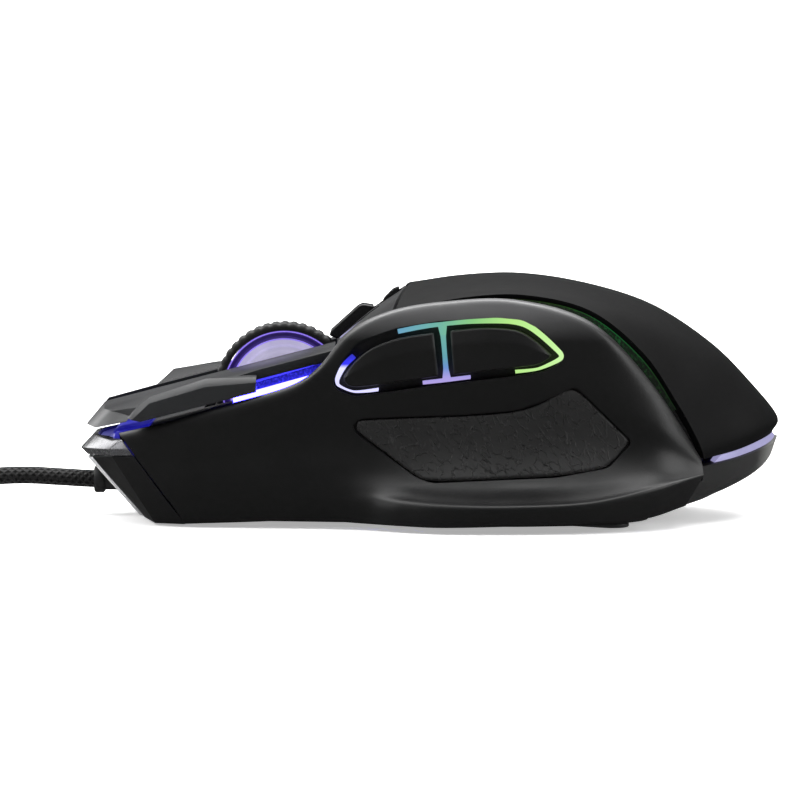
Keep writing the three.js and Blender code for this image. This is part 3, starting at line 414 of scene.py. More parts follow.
def rainbow_light():
    """The thumb light: blue in front, through teal to green at the back, and lavender low in the middle."""
    finish = Finish("rainbow_light", (0.5, 0.6, 0.6), 0.3)
    upper = finish.ramp(
        finish.along("X", -17.5, 24.0), (0.0, (0.62, 0.62, 1.25)), (0.06, (0.75, 0.75, 1.3)),
        (0.09, (0.02, 0.02, 1.2)),
        (0.2, (0.8, 0.78, 1.2)), (0.28, (0.12, 0.35, 0.52)), (0.46, (0.14, 0.44, 0.33)),
        (0.6, (0.24, 0.6, 0.2)),
        (0.76, (0.45, 0.82, 0.22)), (0.94, (0.55, 0.9, 0.32)), (1.0, (0.62, 0.95, 0.4)))
    middle = finish.ramp(
        finish.along("Z", 26.0, 35.5), (0.0, (0.42, 0.34, 0.76)), (0.12, (0.38, 0.32, 0.74)),
        (0.3, (0.12, 0.26, 0.6)),
        (0.5, (0.1, 0.34, 0.4)), (1.0, (0.14, 0.44, 0.33)))
    front = finish.ramp(
        finish.along("Z", 24.0, 31.0), (0.0, (0.8, 0.78, 1.2)), (0.3, (0.75, 0.74, 1.2)),
        (0.66, (0.85, 0.85, 1.3)),
        (0.76, (0.02, 0.02, 1.1)), (1.0, (0.01, 0.01, 0.5)))
    span = finish.along("X", -3.2, 8.2)
    inside = finish.sums("MULTIPLY", finish.sums("GREATER_THAN", span, 0.0),
                         finish.sums("LESS_THAN", span, 1.0))
    low = finish.sums("LESS_THAN", finish.along("Z", 0, 34.6), 1.0)
    rear = finish.ramp(finish.along("Z", 27.0, 31.0), (0.0, (0.86, 1.0, 0.7)), (0.55, (0.75, 1.0, 0.5)),
                       (1.0, (0.55, 0.9, 0.32)))
    back = finish.sums("GREATER_THAN", finish.along("X", 0, 14.0), 1.0)
    nose = finish.sums("LESS_THAN", finish.along("X", -18, -8.0), 1.0)
    colour = upper
    for share, other in ((finish.sums("MULTIPLY", inside, low), middle), (nose, front),
                         (finish.sums("MULTIPLY", back,
                                      finish.sums("LESS_THAN", finish.along("Z", 0, 31.0), 1.0)), rear)):
        mix = finish.add("Mix", {"Factor": share}, data_type="RGBA")
        finish.tree.links.new(colour, mix.inputs[6])
        finish.tree.links.new(other, mix.inputs[7])
        colour = mix.outputs[2]
    finish.set(**{"Emission Color": colour, "Emission Strength": 1.0, "Base Color": (0.02, 0.02, 0.03, 1.0)})
    finish.relief(finish.noise(2500, 2), 0.01)
    return finish.material


def groove_light():
    """Smoked plastic over a green light: dark and speckled, with a bright line along each edge."""
    finish = Finish("green_light", (0.003, 0.004, 0.003), 0.8, Specular_IOR_Level=0.06)
    x = finish.along("X", 4.0, 46.0)
    glow = finish.ramp(x, (0.0, (0.0, 0.001, 0.0)), (0.25, (0.008, 0.012, 0.0)), (0.42, (0.015, 0.06, 0.004)),
                       (0.66, (0.005, 0.09, 0.02)), (0.85, (0.004, 0.025, 0.004)), (1.0, (0.0, 0.002, 0.0)))
    speck = finish.add("MapRange", {"Value": finish.noise(1900, 2, 0.7), "From Min": 0.5, "From Max": 0.72,
                                    "To Min": 0.05}).outputs[0]
    across = finish.add("SeparateXYZ", {"Vector": finish.add("TexCoord").outputs["UV"]}).outputs["X"]
    edge = finish.ramp(across, (0.0, (1, 1, 1)), (0.08, (1, 1, 1)), (0.16, (0, 0, 0)), (0.9, (0, 0, 0)),
                       (0.95, (0.6, 0.6, 0.6)))
    line = finish.sums("MULTIPLY", finish.add("RGBToBW", {"Color": edge}).outputs[0], 2.2)
    finish.set(**{"Emission Color": glow, "Emission Strength": finish.sums("MAXIMUM", speck, line)})
    finish.relief(finish.noise(1800, 2), 0.05)
    return finish.material


def metal(name, colour, roughness, brushed=False, metallic=1.0):
    finish = Finish(name, colour, roughness, Metallic=metallic)
    finish.mottle(finish.noise(120, 3), 0.08)
    finish.set(Roughness=finish.sums("ADD", finish.between(finish.noise(400, 2), -0.04, 0.05), roughness))
    place = finish.place
    if brushed:
        place = finish.add("Mapping", {"Vector": place, "Scale": (0.05, 1.0, 1.0)}).outputs["Vector"]
    finish.relief(finish.noise(3000, 2, 0.5, place), 0.0012)
    return finish.material


def braid():
    """Woven sleeve: strands wind round both ways and pass over and under each other."""
    finish = Finish("braid", (0.006, 0.006, 0.006), 0.55, Specular_IOR_Level=0.3, Sheen_Weight=0.04,
                    Sheen_Roughness=0.4)
    parts = finish.add("SeparateXYZ", {"Vector": finish.add("TexCoord").outputs["UV"]})
    run, turn = parts.outputs["X"], parts.outputs["Y"]
    strands, lay, threads, thread_lay = 8, 760.0, 64, 2200.0
    waves = []
    for way in (1, -1):
        phase = finish.sums("MULTIPLY_ADD", turn, way * strands * math.tau,
                            finish.sums("MULTIPLY", run, lay * math.tau))
        waves.append(finish.sums("SINE", phase))
    ridge = finish.sums("MULTIPLY", finish.sums("MAXIMUM", waves[0], waves[1]), 0.6)
    thread = finish.sums("SINE", finish.sums("MULTIPLY_ADD", turn, threads * math.tau,
                                             finish.sums("MULTIPLY", run, thread_lay)))
    height = finish.sums("MULTIPLY_ADD", thread, 0.06, ridge)
    # Painted shade: the colour is darker in the hollows between the strands and lighter on their crowns.
    finish.set(**{"Base Color": finish.ramp(finish.sums("MULTIPLY_ADD", ridge, 0.8, 0.5),
                                            (0.1, (0.002, 0.002, 0.002)), (0.9, (0.012, 0.012, 0.012)))})
    finish.relief(height, 0.3)
    return finish.material


def tail_smoke():
    """Satin black that clears to smoked grey at the very tip of the tail."""
    finish = Finish("tail_smoke", (0.012, 0.012, 0.012), 0.42, Specular_IOR_Level=0.5)
    cloud = finish.sums("MULTIPLY", finish.sums("SUBTRACT", finish.noise(60), 0.5), 0.2)
    reach = finish.sums("ADD", finish.along("X", 52.0, 63.6), cloud)
    finish.set(**{"Base Color": finish.ramp(reach, (0.0, (0.016, 0.016, 0.016)), (0.6, (0.02, 0.02, 0.02)),
                                            (1.0, (0.2, 0.2, 0.19)))})
    finish.relief(finish.noise(4500, 2), 0.012)
    return finish.material


def pitted_black():
    """Rough black plastic that sparkles where a lamp grazes it."""
    finish = Finish("pitted_black", (0.02, 0.02, 0.02), 0.45)
    finish.mottle(finish.noise(2600, 3, 0.7), 0.7)
    finish.relief(finish.noise(2400, 3, 0.7), 0.12)
    return finish.material


def recess_painted_glow():
    """The rough wall behind each light strip, with the strip's blue light painted into its pits as a glow."""
    finish = Finish("recess_painted_glow", (0.01, 0.01, 0.02), 0.45)
    pits = finish.noise(2300, 3, 0.7)
    # Painted light: an emitted blue glow, brightest in the pits, stands in for the strip's light falling on
    # the wall.
    finish.set(**{"Emission Color": finish.ramp(pits, (0.4, (0.004, 0.004, 0.12)),
                                                (0.52, (0.012, 0.01, 0.4)), (0.66, (0.05, 0.045, 0.9))),
                  "Emission Strength": 0.75})
    finish.relief(pits, 0.1)
    return finish.material


def circuit_green():
    finish = Finish("circuit_board", (0.012, 0.09, 0.035), 0.35)
    cells = finish.add("TexVoronoi", {"Vector": finish.place, "Scale": 320.0},
                       distance="MANHATTAN").outputs["Distance"]
    tracks = finish.add("MapRange", {"Value": cells, "From Min": 0.28, "From Max": 0.34}).outputs["Result"]
    finish.set(**{"Base Color": finish.ramp(tracks, (0.0, (0.02, 0.13, 0.05)), (1.0, (0.01, 0.07, 0.03)))})
    finish.relief(tracks, 0.03)
    return finish.material


def clear_lens():
    finish = Finish("clear_plastic", (0.93, 0.95, 0.98), 0.05, Transmission_Weight=0.9, IOR=1.49)
    finish.mottle(finish.noise(200), 0.02)
    return finish.material


def make_finishes():
    made = {
        "satin_black": moulded("satin_black", (0.0045, 0.0045, 0.0047), 0.42, 0.22, 0.012,
                               Specular_IOR_Level=0.42).material,
        "satin_with_painted_crest_highlight": satin_with_painted_crest_highlight().material,
        "soft_touch": moulded("soft_touch", (0.0034, 0.0034, 0.0036), 0.6, 0.18, 0.01, 0.03,
                              Specular_IOR_Level=0.09).material,
        "button_grey": moulded("button_grey", (0.013, 0.0138, 0.0155), 0.42, 0.2, 0.01,
                               Specular_IOR_Level=0.42).material,
        "gloss_black": moulded("gloss_black", (0.006, 0.006, 0.007), 0.12, 0.6, 0.003, 0.03).material,
        "frame_black": moulded("frame_black", (0.008, 0.008, 0.0085), 0.5, 0.3, 0.02).material,
        "wheel_rubber": moulded("wheel_rubber", (0.012, 0.012, 0.0125), 0.6, 0.25, 0.02).material,
        "switch_plastic": moulded("switch_plastic", (0.012, 0.012, 0.012), 0.4, 0.3, 0.01).material,
        "white_plastic": moulded("white_plastic", (0.72, 0.72, 0.7), 0.4, 0.3, 0.01).material,
        "glide": moulded("glide", (0.03, 0.03, 0.031), 0.35, 0.4, 0.01).material,
        "violet_rim": lit("violet_rim", (0.035, 0.012, 0.2), 0.3, (0.02, 0.012, 0.07), Coat_Weight=1.0,
                          Coat_Roughness=0.05).material,
        "wheel_disc": lit("wheel_disc", (0.68, 0.64, 0.86), 0.62, (0.5, 0.47, 0.62),
                          Coat_Weight=0.6).material,
        "violet_line": lit("violet_line", (0.3, 0.2, 1.0), 0.9, (0.2, 0.15, 0.5)).material,
        "blue_light": lit("blue_light", (0.046, 0.04, 1.0), 28.0, (0.3, 0.3, 0.6)).material,
        "blue_nose_glass": lit("blue_nose_glass", (0.08, 0.075, 0.7), 0.26, (0.03, 0.03, 0.12),
                               Coat_Weight=0.4).material,
        "blue_nose_ridge": lit("blue_nose_ridge", (0.03, 0.028, 1.0), 0.27, (0.02, 0.02, 0.2),
                               Coat_Weight=0.2).material,
        "tail_smoke": tail_smoke(),
        "pitted_black": pitted_black(),
        "bridge_black": moulded("bridge_black", (0.012, 0.012, 0.013), 0.42, 0.25, 0.012).material,
        "lavender_light": lit("lavender_light", (0.42, 0.39, 0.7), 0.62, (0.12, 0.12, 0.18)).material,
        "polished_metal": metal("polished_metal", (0.19, 0.19, 0.2), 0.24, False, 0.85),
        "trim_chrome": moulded("trim_chrome", (0.9, 0.9, 0.92), 0.2, 0.4, 0.002, Metallic=0.35).material,
        "steel": metal("steel", (0.62, 0.62, 0.63), 0.28, True),
        "grip_rubber": grip_rubber(),
        "rainbow_light": rainbow_light(),
        "green_light": groove_light(),
        "braid": braid(),
        "recess_painted_glow": recess_painted_glow(),
        "circuit_board": circuit_green(),
        "clear_plastic": clear_lens(),
    }
    return made


# ------------------------------------------------------------------ cable

CORD = 3.2
PITCH = 3.3
CAN_WALL = 0.4
COIL_CENTRE, COIL_RADIUS = (-114.0, -9.0), 19.0
LEAD_ROUTE = [
    (-59.8, 0.0, 6.5), (-63.0, 0.0, 6.6), (-68.0, 0.0, 6.9), (-74.0, 0.0, 7.2), (-80.0, 0.5, 6.9),
    (-85.5, 3.0, 5.6),
    (-90.0, 7.4, 3.8), (-94.2, 12.6, 2.4), (-98.8, 16.4, 1.8), (-104.0, 18.4, 1.7),
]
TAIL_ROUTE = [
    (-137.4, 9.8, 3.2), (-141.2, 6.0, 2.2), (-144.6, 1.4, 1.9), (-147.0, -4.0, 2.2), (-148.4, -9.0, 3.2),
    (-148.8, -12.4, 4.0),
]


def coil_points():
    """Three and a half layers of four turns, wound inwards and outwards by turns."""
    points = []
    first = math.radians(112)
    outer = COIL_RADIUS + 1.5 * PITCH
    turns, steps = 14, 48
    bottom, climb = 1.7, 0.7
    for k in range(turns * steps + 1):
        t = k / steps
        layer, turn = int(t // 4), t % 4
        inwards = layer % 2 == 0
        spread = min(turn, 3.0) * PITCH
        radius = outer - spread if inwards else outer - 3 * PITCH + spread
        rise = min(max(turn - 3.0, 0.0) / climb, 1.0)
        height = bottom + PITCH * (layer + rise * rise * (3 - 2 * rise))
        angle = first + t * math.tau
        points.append((COIL_CENTRE[0] + radius * math.cos(angle), COIL_CENTRE[1] + radius * math.sin(angle),
                       height))
    return points


def cord_route():
    lead = smooth_line(LEAD_ROUTE, 40)
    coil = np.array(coil_points())
    entry = smooth_line([lead[-2], lead[-1], (-110.5, 17.6, 1.7), coil[4], coil[5]], 12)[2:-2]
    tail = smooth_line(TAIL_ROUTE, 16)
    over = [coil[-6], coil[-1]]
    for angle, radius, height in ((124, 22.2, 11.9), (132, 25.2, 11.2), (137.5, 27.8, 8.2), (140, 29.3, 5.2)):
        a = math.radians(angle)
        over.append((COIL_CENTRE[0] + radius * math.cos(a), COIL_CENTRE[1] + radius * math.sin(a), height))
    leaving = smooth_line([*over, tail[0]], 20)
    leaving = leaving[np.argmin(np.linalg.norm(leaving - coil[-1], axis=1)) + 1:-1]
    return np.concatenate([lead, entry, coil[4:], leaving, tail])


def cord_tube(name, route, sides=16):
    """A tube along a route, with its run in metres and its turn as the two parts of its UV map."""
    route = route * MM
    bm = bmesh.new()
    bmesh.ops.create_grid(bm, x_segments=sides, y_segments=len(route) - 1, size=0.5, calc_uvs=False)
    ahead = np.gradient(route, axis=0)
    ahead /= np.linalg.norm(ahead, axis=1)[:, None]
    up = np.array((0.0, 0.0, 1.0))
    across = np.cross(ahead, up)
    across /= np.linalg.norm(across, axis=1)[:, None]
    above = np.cross(across, ahead)
    run = np.concatenate([[0], np.cumsum(np.linalg.norm(np.diff(route, axis=0), axis=1))])
    bm.verts.ensure_lookup_table()
    places = {}
    for k, vertex in enumerate(bm.verts):
        i, j = divmod(k, sides + 1)
        turn = j * math.tau / sides
        vertex.co = route[i] + (across[i] * math.cos(turn) + above[i] * math.sin(turn)) * CORD / 2 * MM
        places[vertex] = (run[i], j / sides)
    layer = bm.loops.layers.uv.new("run_and_turn")
    for face in bm.faces:
        for loop in face.loops:
            loop[layer].uv = places[loop.vert]
    bmesh.ops.remove_doubles(bm, verts=bm.verts, dist=1e-7)
    bmesh.ops.holes_fill(bm, edges=[e for e in bm.edges if e.is_boundary], sides=sides)
    bmesh.ops.recalc_face_normals(bm, faces=bm.faces)
    return new_piece(name, bm)


def make_cable(finishes):
    route = cord_route()
    cable = cord_tube("braided_cable", route)
    dress(cable, finishes["braid"], "housing", "cable_lead", "cable_coil", "cable_tail", slot="braid")

    tie_low, tie_high = (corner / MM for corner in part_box("cable_tie"))
    outline = rectangle(tie_low.x, 0.1, tie_high.x, tie_high.z)
    inner = rectangle(tie_low.x + 0.9, 0.55, tie_high.x - 0.9, tie_high.z - 0.9)
    tie = block("cable_tie_strap", outline, tie_low.y, tie_high.y, rounding=2.2)
    trim(tie, block("tie_inside", inner, tie_low.y - 1, tie_high.y + 1, rounding=1.6))
    dress(soften(tie, 0.2, 2), finishes["wheel_rubber"], "housing", "cable_tie", slot="wheel_rubber")

    low, high = (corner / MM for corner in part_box("plug_grip"))
    middle = (low + high) / 2
    taper = [(2.3, high.y), (3.3, high.y - 1.5), (3.3, high.y - 3.6), (2.3, high.y - 4.2)]
    outline = rectangle(low.x, low.y, high.x, high.y - 4)
    grip = block("plug_handle", outline, low.z, high.z, "Z", rounding=2.4)
    soften(grip, 1.1, 4)
    for k in range(4):
        y = high.y - 8.5 - k * 2.4
        groove = [(low.x - 1, y), (low.x + 0.5, y + 0.45), (low.x + 0.5, y + 0.9), (low.x - 1, y + 1.3)]
        trim(grip, block("groove", groove, low.z - 1, high.z + 1, "Z"))
        trim(grip, block("groove", [(2 * middle.x - x, b) for x, b in groove], low.z - 1, high.z + 1, "Z"))
    bush = turned("plug_bush", [*taper, (1.7, high.y - 4.2), (1.7, high.y)], 32, (middle.x, 0, middle.z), "Y")
    plug = dress(grip, finishes["wheel_rubber"], "housing", "plug_grip", slot="wheel_rubber")
    sleeve = dress(bush, finishes["wheel_rubber"], "housing", slot="wheel_rubber")

    low, high = (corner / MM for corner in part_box("plug_shell"))
    can = block("plug_can", rectangle(low.x, low.z, high.x, high.z), low.y, high.y, rounding=0.5)
    hollow = rectangle(low.x + CAN_WALL, low.z + CAN_WALL, high.x - CAN_WALL, high.z - CAN_WALL)
    trim(can, block("can_inside", hollow, low.y - 1, high.y - 1, rounding=0.3))
    for dx in (-2.8, 2.8):
        x, y = (low.x + high.x) / 2 + dx, (low.y + high.y) / 2 - 0.5
        window = rectangle(x - 1.1, y - 1.1, x + 1.1, y + 1.1)
        trim(can, block("window", window, high.z - 0.8, high.z + 1, "Z"))
    metal_can = dress(soften(can, 0.08, 2), finishes["steel"], "housing", "plug_shell", slot="steel")


# ------------------------------------------------------------------ guide nets, in millimetres

# Each station runs from the bottom edge over the ledge, the waist and the shoulder to the rolled crest.
THUMB_SIDE = [
    [(-43.9, 24.6, 0.6), (-46.0, 25.2, 4.0), (-47.2, 25.4, 5.5), (-49.0, 25.5, 8.0), (-51.3, 25.2, 11.0),
     (-53.4, 24.6, 13.8), (-54.9, 23.9, 15.8), (-55.6, 22.8, 16.7), (-55.3, 21.4, 16.2)],
    [(-39.0, 25.2, 0.8), (-40.4, 25.9, 4.1), (-41.2, 26.2, 5.8), (-42.5, 26.3, 8.5), (-44.2, 25.9, 12.1),
     (-45.7, 25.8, 15.2), (-46.8, 25.5, 17.6), (-47.4, 24.4, 18.7), (-47.3, 22.9, 18.3)],
    [(-34.0, 25.8, 1.0), (-34.8, 26.6, 4.2), (-35.3, 26.9, 6.0), (-36.0, 27.0, 9.0), (-37.0, 26.6, 13.0),
     (-38.0, 26.9, 16.8), (-38.8, 27.0, 19.8), (-39.2, 26.0, 21.2), (-39.2, 24.4, 20.8)],
    [(-25.0, 27.0, 1.4), (-25.0, 27.8, 4.4), (-25.0, 28.0, 6.4), (-25.2, 27.8, 10.0), (-25.4, 27.2, 15.0),
     (-25.6, 27.8, 19.8), (-25.8, 28.4, 23.4), (-26.0, 27.4, 25.0), (-26.0, 25.6, 24.6)],
    [(-18.0, 28.2, 1.4), (-18.0, 28.9, 4.6), (-17.8, 28.9, 6.8), (-17.8, 28.2, 10.6), (-18.0, 27.3, 16.4),
     (-18.6, 28.0, 22.0), (-19.6, 28.6, 27.0), (-20.2, 27.6, 28.5), (-19.4, 25.8, 28.4)],
    [(-11.5, 30.6, 1.2), (-11.0, 31.4, 4.9), (-11.0, 30.6, 7.2), (-11.0, 28.8, 11.0), (-11.4, 27.6, 17.4),
     (-12.4, 28.8, 25.0), (-13.8, 28.8, 33.2), (-14.8, 27.4, 34.9), (-14.0, 25.8, 34.6)],
    [(-5.5, 34.8, 1.2), (-5.0, 35.8, 5.0), (-5.0, 33.8, 6.6), (-5.0, 30.4, 9.8), (-5.0, 28.0, 17.6),
     (-6.0, 29.8, 26.6), (-7.0, 29.4, 36.8), (-7.6, 27.8, 38.6), (-7.2, 26.2, 38.2)],
    [(2.0, 38.2, 1.2), (2.4, 39.1, 4.8), (2.4, 36.8, 6.0), (2.6, 32.0, 8.8), (3.0, 28.4, 17.4),
     (3.0, 30.6, 28.0), (2.6, 30.2, 38.6), (2.4, 28.6, 40.4), (2.6, 26.8, 40.0)],
    [(14.0, 38.8, 1.5), (14.0, 39.6, 4.7), (14.0, 37.6, 5.8), (14.4, 32.6, 8.6), (15.0, 28.8, 17.0),
     (15.2, 31.2, 27.6), (15.2, 31.0, 38.8), (15.2, 29.4, 40.7), (15.2, 27.4, 40.3)],
    [(27.0, 37.2, 1.8), (27.6, 38.2, 5.2), (27.8, 36.4, 6.4), (28.2, 32.4, 9.6), (28.8, 29.4, 16.6),
     (28.6, 31.0, 25.0), (28.2, 31.0, 34.6), (28.6, 29.4, 36.6), (27.8, 27.8, 36.4)],
    [(37.6, 32.2, 2.2), (39.4, 33.2, 7.0), (39.6, 32.0, 8.4), (39.8, 30.0, 10.8), (39.8, 28.6, 14.6),
     (39.4, 29.0, 19.0), (38.6, 28.8, 24.2), (39.2, 27.4, 25.8), (38.0, 26.4, 25.6)],
    [(45.2, 26.6, 4.0), (48.3, 24.6, 8.8), (48.5, 24.3, 9.5), (48.5, 24.1, 10.1), (48.4, 23.9, 10.7),
     (48.3, 23.7, 11.3), (48.2, 23.4, 11.9), (48.0, 22.8, 12.4), (47.4, 22.4, 12.2)],
]
FINGER_SIDE = [
    [(-43.9, 24.6, 0.6), (-46.0, 25.2, 4.0), (-49.0, 25.5, 8.0), (-51.3, 25.2, 11.0),
     (-53.4, 24.6, 13.8), (-54.9, 23.9, 15.8), (-55.6, 22.8, 16.7), (-55.3, 21.4, 16.2)],
    [(-39.0, 25.5, 0.8), (-40.4, 26.3, 4.1), (-42.5, 26.6, 8.2), (-44.2, 26.3, 12.0),
     (-45.7, 26.0, 15.2), (-46.8, 25.6, 17.8), (-47.4, 24.6, 18.9), (-47.3, 23.2, 18.5)],
    [(-34.0, 26.4, 1.0), (-34.8, 27.4, 4.2), (-36.0, 27.6, 8.5), (-37.0, 27.2, 13.0),
     (-38.0, 27.3, 16.8), (-38.8, 27.2, 20.0), (-39.2, 26.2, 21.6), (-39.2, 24.6, 21.2)],
    [(-24.0, 29.0, 1.2), (-24.0, 30.2, 4.4), (-24.4, 29.6, 9.5), (-25.0, 28.8, 15.0),
     (-25.6, 28.8, 19.8), (-25.8, 28.8, 23.4), (-26.0, 27.6, 25.0), (-26.0, 25.8, 24.6)],
    [(-10.0, 33.0, 1.2), (-10.0, 34.4, 4.8), (-10.4, 32.2, 10.0), (-11.0, 30.2, 17.0),
     (-11.6, 30.2, 24.0), (-12.0, 30.0, 29.8), (-12.4, 28.8, 31.4), (-12.2, 27.4, 31.0)],
    [(4.0, 37.0, 1.2), (4.0, 38.2, 4.8), (4.0, 34.6, 10.0), (4.0, 31.6, 17.5),
     (4.0, 31.4, 25.4), (4.0, 31.4, 32.4), (4.0, 30.4, 34.2), (4.0, 29.2, 33.8)],
    [(17.0, 37.8, 1.2), (17.0, 38.6, 4.8), (17.0, 35.2, 10.4), (17.0, 32.4, 17.6),
     (17.0, 32.2, 25.0), (17.0, 31.8, 31.8), (17.0, 30.8, 33.8), (17.0, 29.6, 33.4)],
    [(28.6, 35.0, 1.4), (29.0, 36.4, 5.4), (29.2, 34.0, 10.4), (29.4, 32.0, 16.4),
     (29.2, 31.4, 22.8), (28.8, 31.0, 28.6), (28.8, 30.2, 30.6), (28.4, 29.0, 30.2)],
    [(38.0, 30.6, 2.2), (39.4, 31.8, 6.6), (39.8, 30.6, 10.0), (39.8, 29.4, 14.0),
     (39.4, 28.8, 18.0), (38.8, 28.4, 22.0), (38.8, 27.8, 23.6), (37.8, 27.0, 23.2)],
    [(45.2, 26.6, 4.0), (48.3, 24.6, 8.8), (48.5, 24.1, 10.1), (48.4, 23.9, 10.7),
     (48.3, 23.7, 11.3), (48.2, 23.4, 11.9), (48.0, 22.8, 12.4), (47.4, 22.4, 12.2)],
]
PALM = [
    [(-6.4, -23.6, 38.4), (-5.6, -17.0, 40.2), (-4.4, -9.0, 42.0), (-3.4, 0.0, 42.7),
     (-4.4, 9.0, 41.8), (-6.0, 18.0, 38.8), (-7.5, 26.0, 33.2)],
    [(6.0, -25.2, 41.0), (6.0, -18.5, 42.6), (6.0, -9.0, 43.8), (6.2, 0.0, 44.1),
     (6.0, 10.0, 43.0), (6.0, 19.5, 40.0), (6.0, 27.6, 34.8)],
    [(17.0, -25.8, 41.4), (17.0, -19.0, 43.0), (17.0, -9.0, 44.2), (17.0, 0.0, 44.4),
     (17.0, 10.0, 43.4), (17.0, 20.0, 40.0), (17.0, 28.0, 34.4)],
    [(28.4, -26.0, 38.6), (28.8, -19.4, 41.0), (29.2, -9.5, 42.2), (29.4, 0.0, 42.4),
     (29.2, 10.0, 41.4), (28.8, 20.0, 37.4), (28.2, 27.4, 31.3)],
    [(37.8, -24.8, 31.0), (39.6, -18.8, 35.6), (40.6, -9.6, 38.2), (41.0, 0.0, 38.5),
     (40.6, 10.0, 37.4), (39.4, 19.2, 32.8), (37.6, 25.4, 24.8)],
    [(43.8, -23.4, 22.2), (48.4, -17.6, 27.4), (50.8, -9.0, 31.0), (51.6, 0.0, 31.5),
     (50.8, 9.4, 30.4), (48.2, 17.6, 25.8), (43.6, 23.4, 18.6)],
    [(46.8, -22.4, 17.0), (53.0, -16.6, 19.6), (57.4, -8.4, 23.6), (58.8, 0.0, 24.3),
     (57.4, 8.6, 23.2), (53.0, 16.6, 18.8), (46.8, 22.4, 15.0)],
    [(48.4, -21.8, 13.6), (55.6, -15.9, 15.6), (61.5, -8.0, 17.6), (63.7, 0.0, 18.2),
     (61.5, 8.0, 17.6), (55.6, 15.9, 15.6), (48.4, 21.8, 13.6)],
    [(48.8, -21.2, 11.9), (55.5, -15.3, 13.2), (60.9, -7.6, 14.8), (62.8, 0.0, 15.5),
     (60.9, 7.6, 14.8), (55.5, 15.3, 13.2), (48.8, 21.2, 11.9)],
]
BRIDGE = [
    [(-16.6, -24.4, 30.2), (-16.8, -12.0, 31.8), (-16.8, 0.0, 32.6), (-16.8, 12.0, 31.6),
     (-16.6, 25.0, 28.6)],
    [(-12.2, -24.4, 34.8), (-11.6, -12.0, 36.4), (-11.4, 0.0, 37.3), (-11.6, 12.0, 36.0),
     (-12.4, 25.4, 30.8)],
    [(-7.4, -23.6, 37.4), (-5.8, -12.0, 40.6), (-4.4, 0.0, 42.0), (-5.8, 12.0, 40.2), (-8.4, 25.6, 32.8)],
]
TAIL = [
    [(40.6, -22.6, 2.6), (43.2, -23.0, 6.0), (45.6, -21.9, 10.0)],
    [(48.0, -13.6, 3.6), (52.6, -15.6, 6.6), (54.8, -15.7, 11.5)],
    [(52.4, -6.6, 4.8), (58.6, -7.8, 8.2), (61.2, -7.9, 13.2)],
    [(54.0, 0.0, 5.3), (61.4, 0.0, 9.6), (63.7, 0.0, 14.5)],
    [(52.4, 6.6, 4.8), (58.6, 7.8, 8.2), (61.2, 7.9, 13.2)],
    [(48.0, 13.6, 3.6), (52.6, 15.6, 6.6), (54.8, 15.7, 11.5)],
    [(40.6, 22.6, 2.6), (43.2, 23.0, 6.0), (45.6, 21.9, 10.0)],
]
THUMB_SIDE = [[(x, -y, z) for x, y, z in station] for station in THUMB_SIDE]
SIDES = (("left", -1), ("right", 1))
WALL = 1.3
GRIP_LIFT = 0.12
KEY_ROOM = 3.75

WHEEL_CENTRE, WHEEL_RADIUS = (-26.6, 0.0, 22.6), 12.9

# Outlines in the side view.
WINDOW = [
    (-17.2, 26.0), (-16.2, 28.8), (-12.6, 33.2), (-5.8, 35.6), (1.5, 36.8), (11.6, 37.4), (15.9, 37.0),
    (19.4, 35.2),
    (23.2, 31.3), (22.8, 30.1), (19.8, 28.5), (14.8, 27.7), (-1.5, 25.7), (-9.4, 24.5), (-13.6, 23.9),
    (-16.2, 24.8),
]
THUMB_GRIP = [
    (-13.0, 17.0), (-13.8, 18.5), (-12.3, 19.5), (6.0, 20.2), (15.0, 21.0), (20.0, 22.8), (25.5, 25.4),
    (35.4, 15.6), (31.2, 11.3),
    (22.1, 9.7), (0.1, 8.7), (-2.6, 9.6),
]
FINGER_GRIP = [(-22.0, 18.6), (2.0, 21.6), (24.0, 22.6), (34.6, 14.6), (28.0, 10.6), (-4.0, 9.4),
               (-9.0, 10.0)]


def grown(points, distance):
    """An outline moved outwards, or inwards by a negative distance."""
    turn = math.copysign(1, sum(a[0] * b[1] - b[0] * a[1] for a, b in zip(points, points[1:] + points[:1])))
    moved = []
    for i, (x, z) in enumerate(points):
        (x0, z0), (x1, z1) = points[i - 1], points[(i + 1) % len(points)]
        normals = [Vector((z - z0, x0 - x)).normalized() * turn, Vector((z1 - z, x - x1)).normalized() * turn]
        middle = (normals[0] + normals[1]).normalized()
        reach = distance / max(0.5, middle.dot(normals[0]))
        moved.append((x + middle.x * reach, z + middle.y * reach))
    return moved


class Drape:
    """Lays flat patterns, drawn in the side view, onto a side skin."""

    def __init__(self, piece, side):
        bm = bmesh.new()
        bm.from_mesh(piece.data)
        self.tree, self.side = BVHTree.FromBMesh(bm), side
        bm.free()

    def point(self, x, z, lift=0.0):
        start = Vector((x * MM, self.side * 0.08, z * MM))
        found, normal, _, _ = self.tree.ray_cast(start, Vector((0, -self.side, 0)))
        if found is None:
            return np.array((x, self.side * 27.0, z))
        if normal.y * self.side < 0:
            normal = -normal
        return np.array((found / MM) + normal * lift)

    def sheet(self, name, flat, lifts):
        points = np.array([[self.point(x, z, lift) for (x, z), lift in zip(row, row_lifts)] for row,
                           row_lifts in zip(flat, lifts)])
        return lay_sheet(name, points, (0, self.side, 0))


def outline_distance(flat, outline):
    """How far each point of a flat grid lies inside an outline's edge."""
    ring = np.array(outline + outline[:1], float)
    nearest = np.full(flat.shape[:2], 1e9)
    for a, b in zip(ring[:-1], ring[1:]):
        line = b - a
        share = np.clip(((flat - a) @ line) / (line @ line), 0, 1)
        nearest = np.minimum(nearest, np.linalg.norm(flat - (a + share[..., None] * line), axis=2))
    return nearest


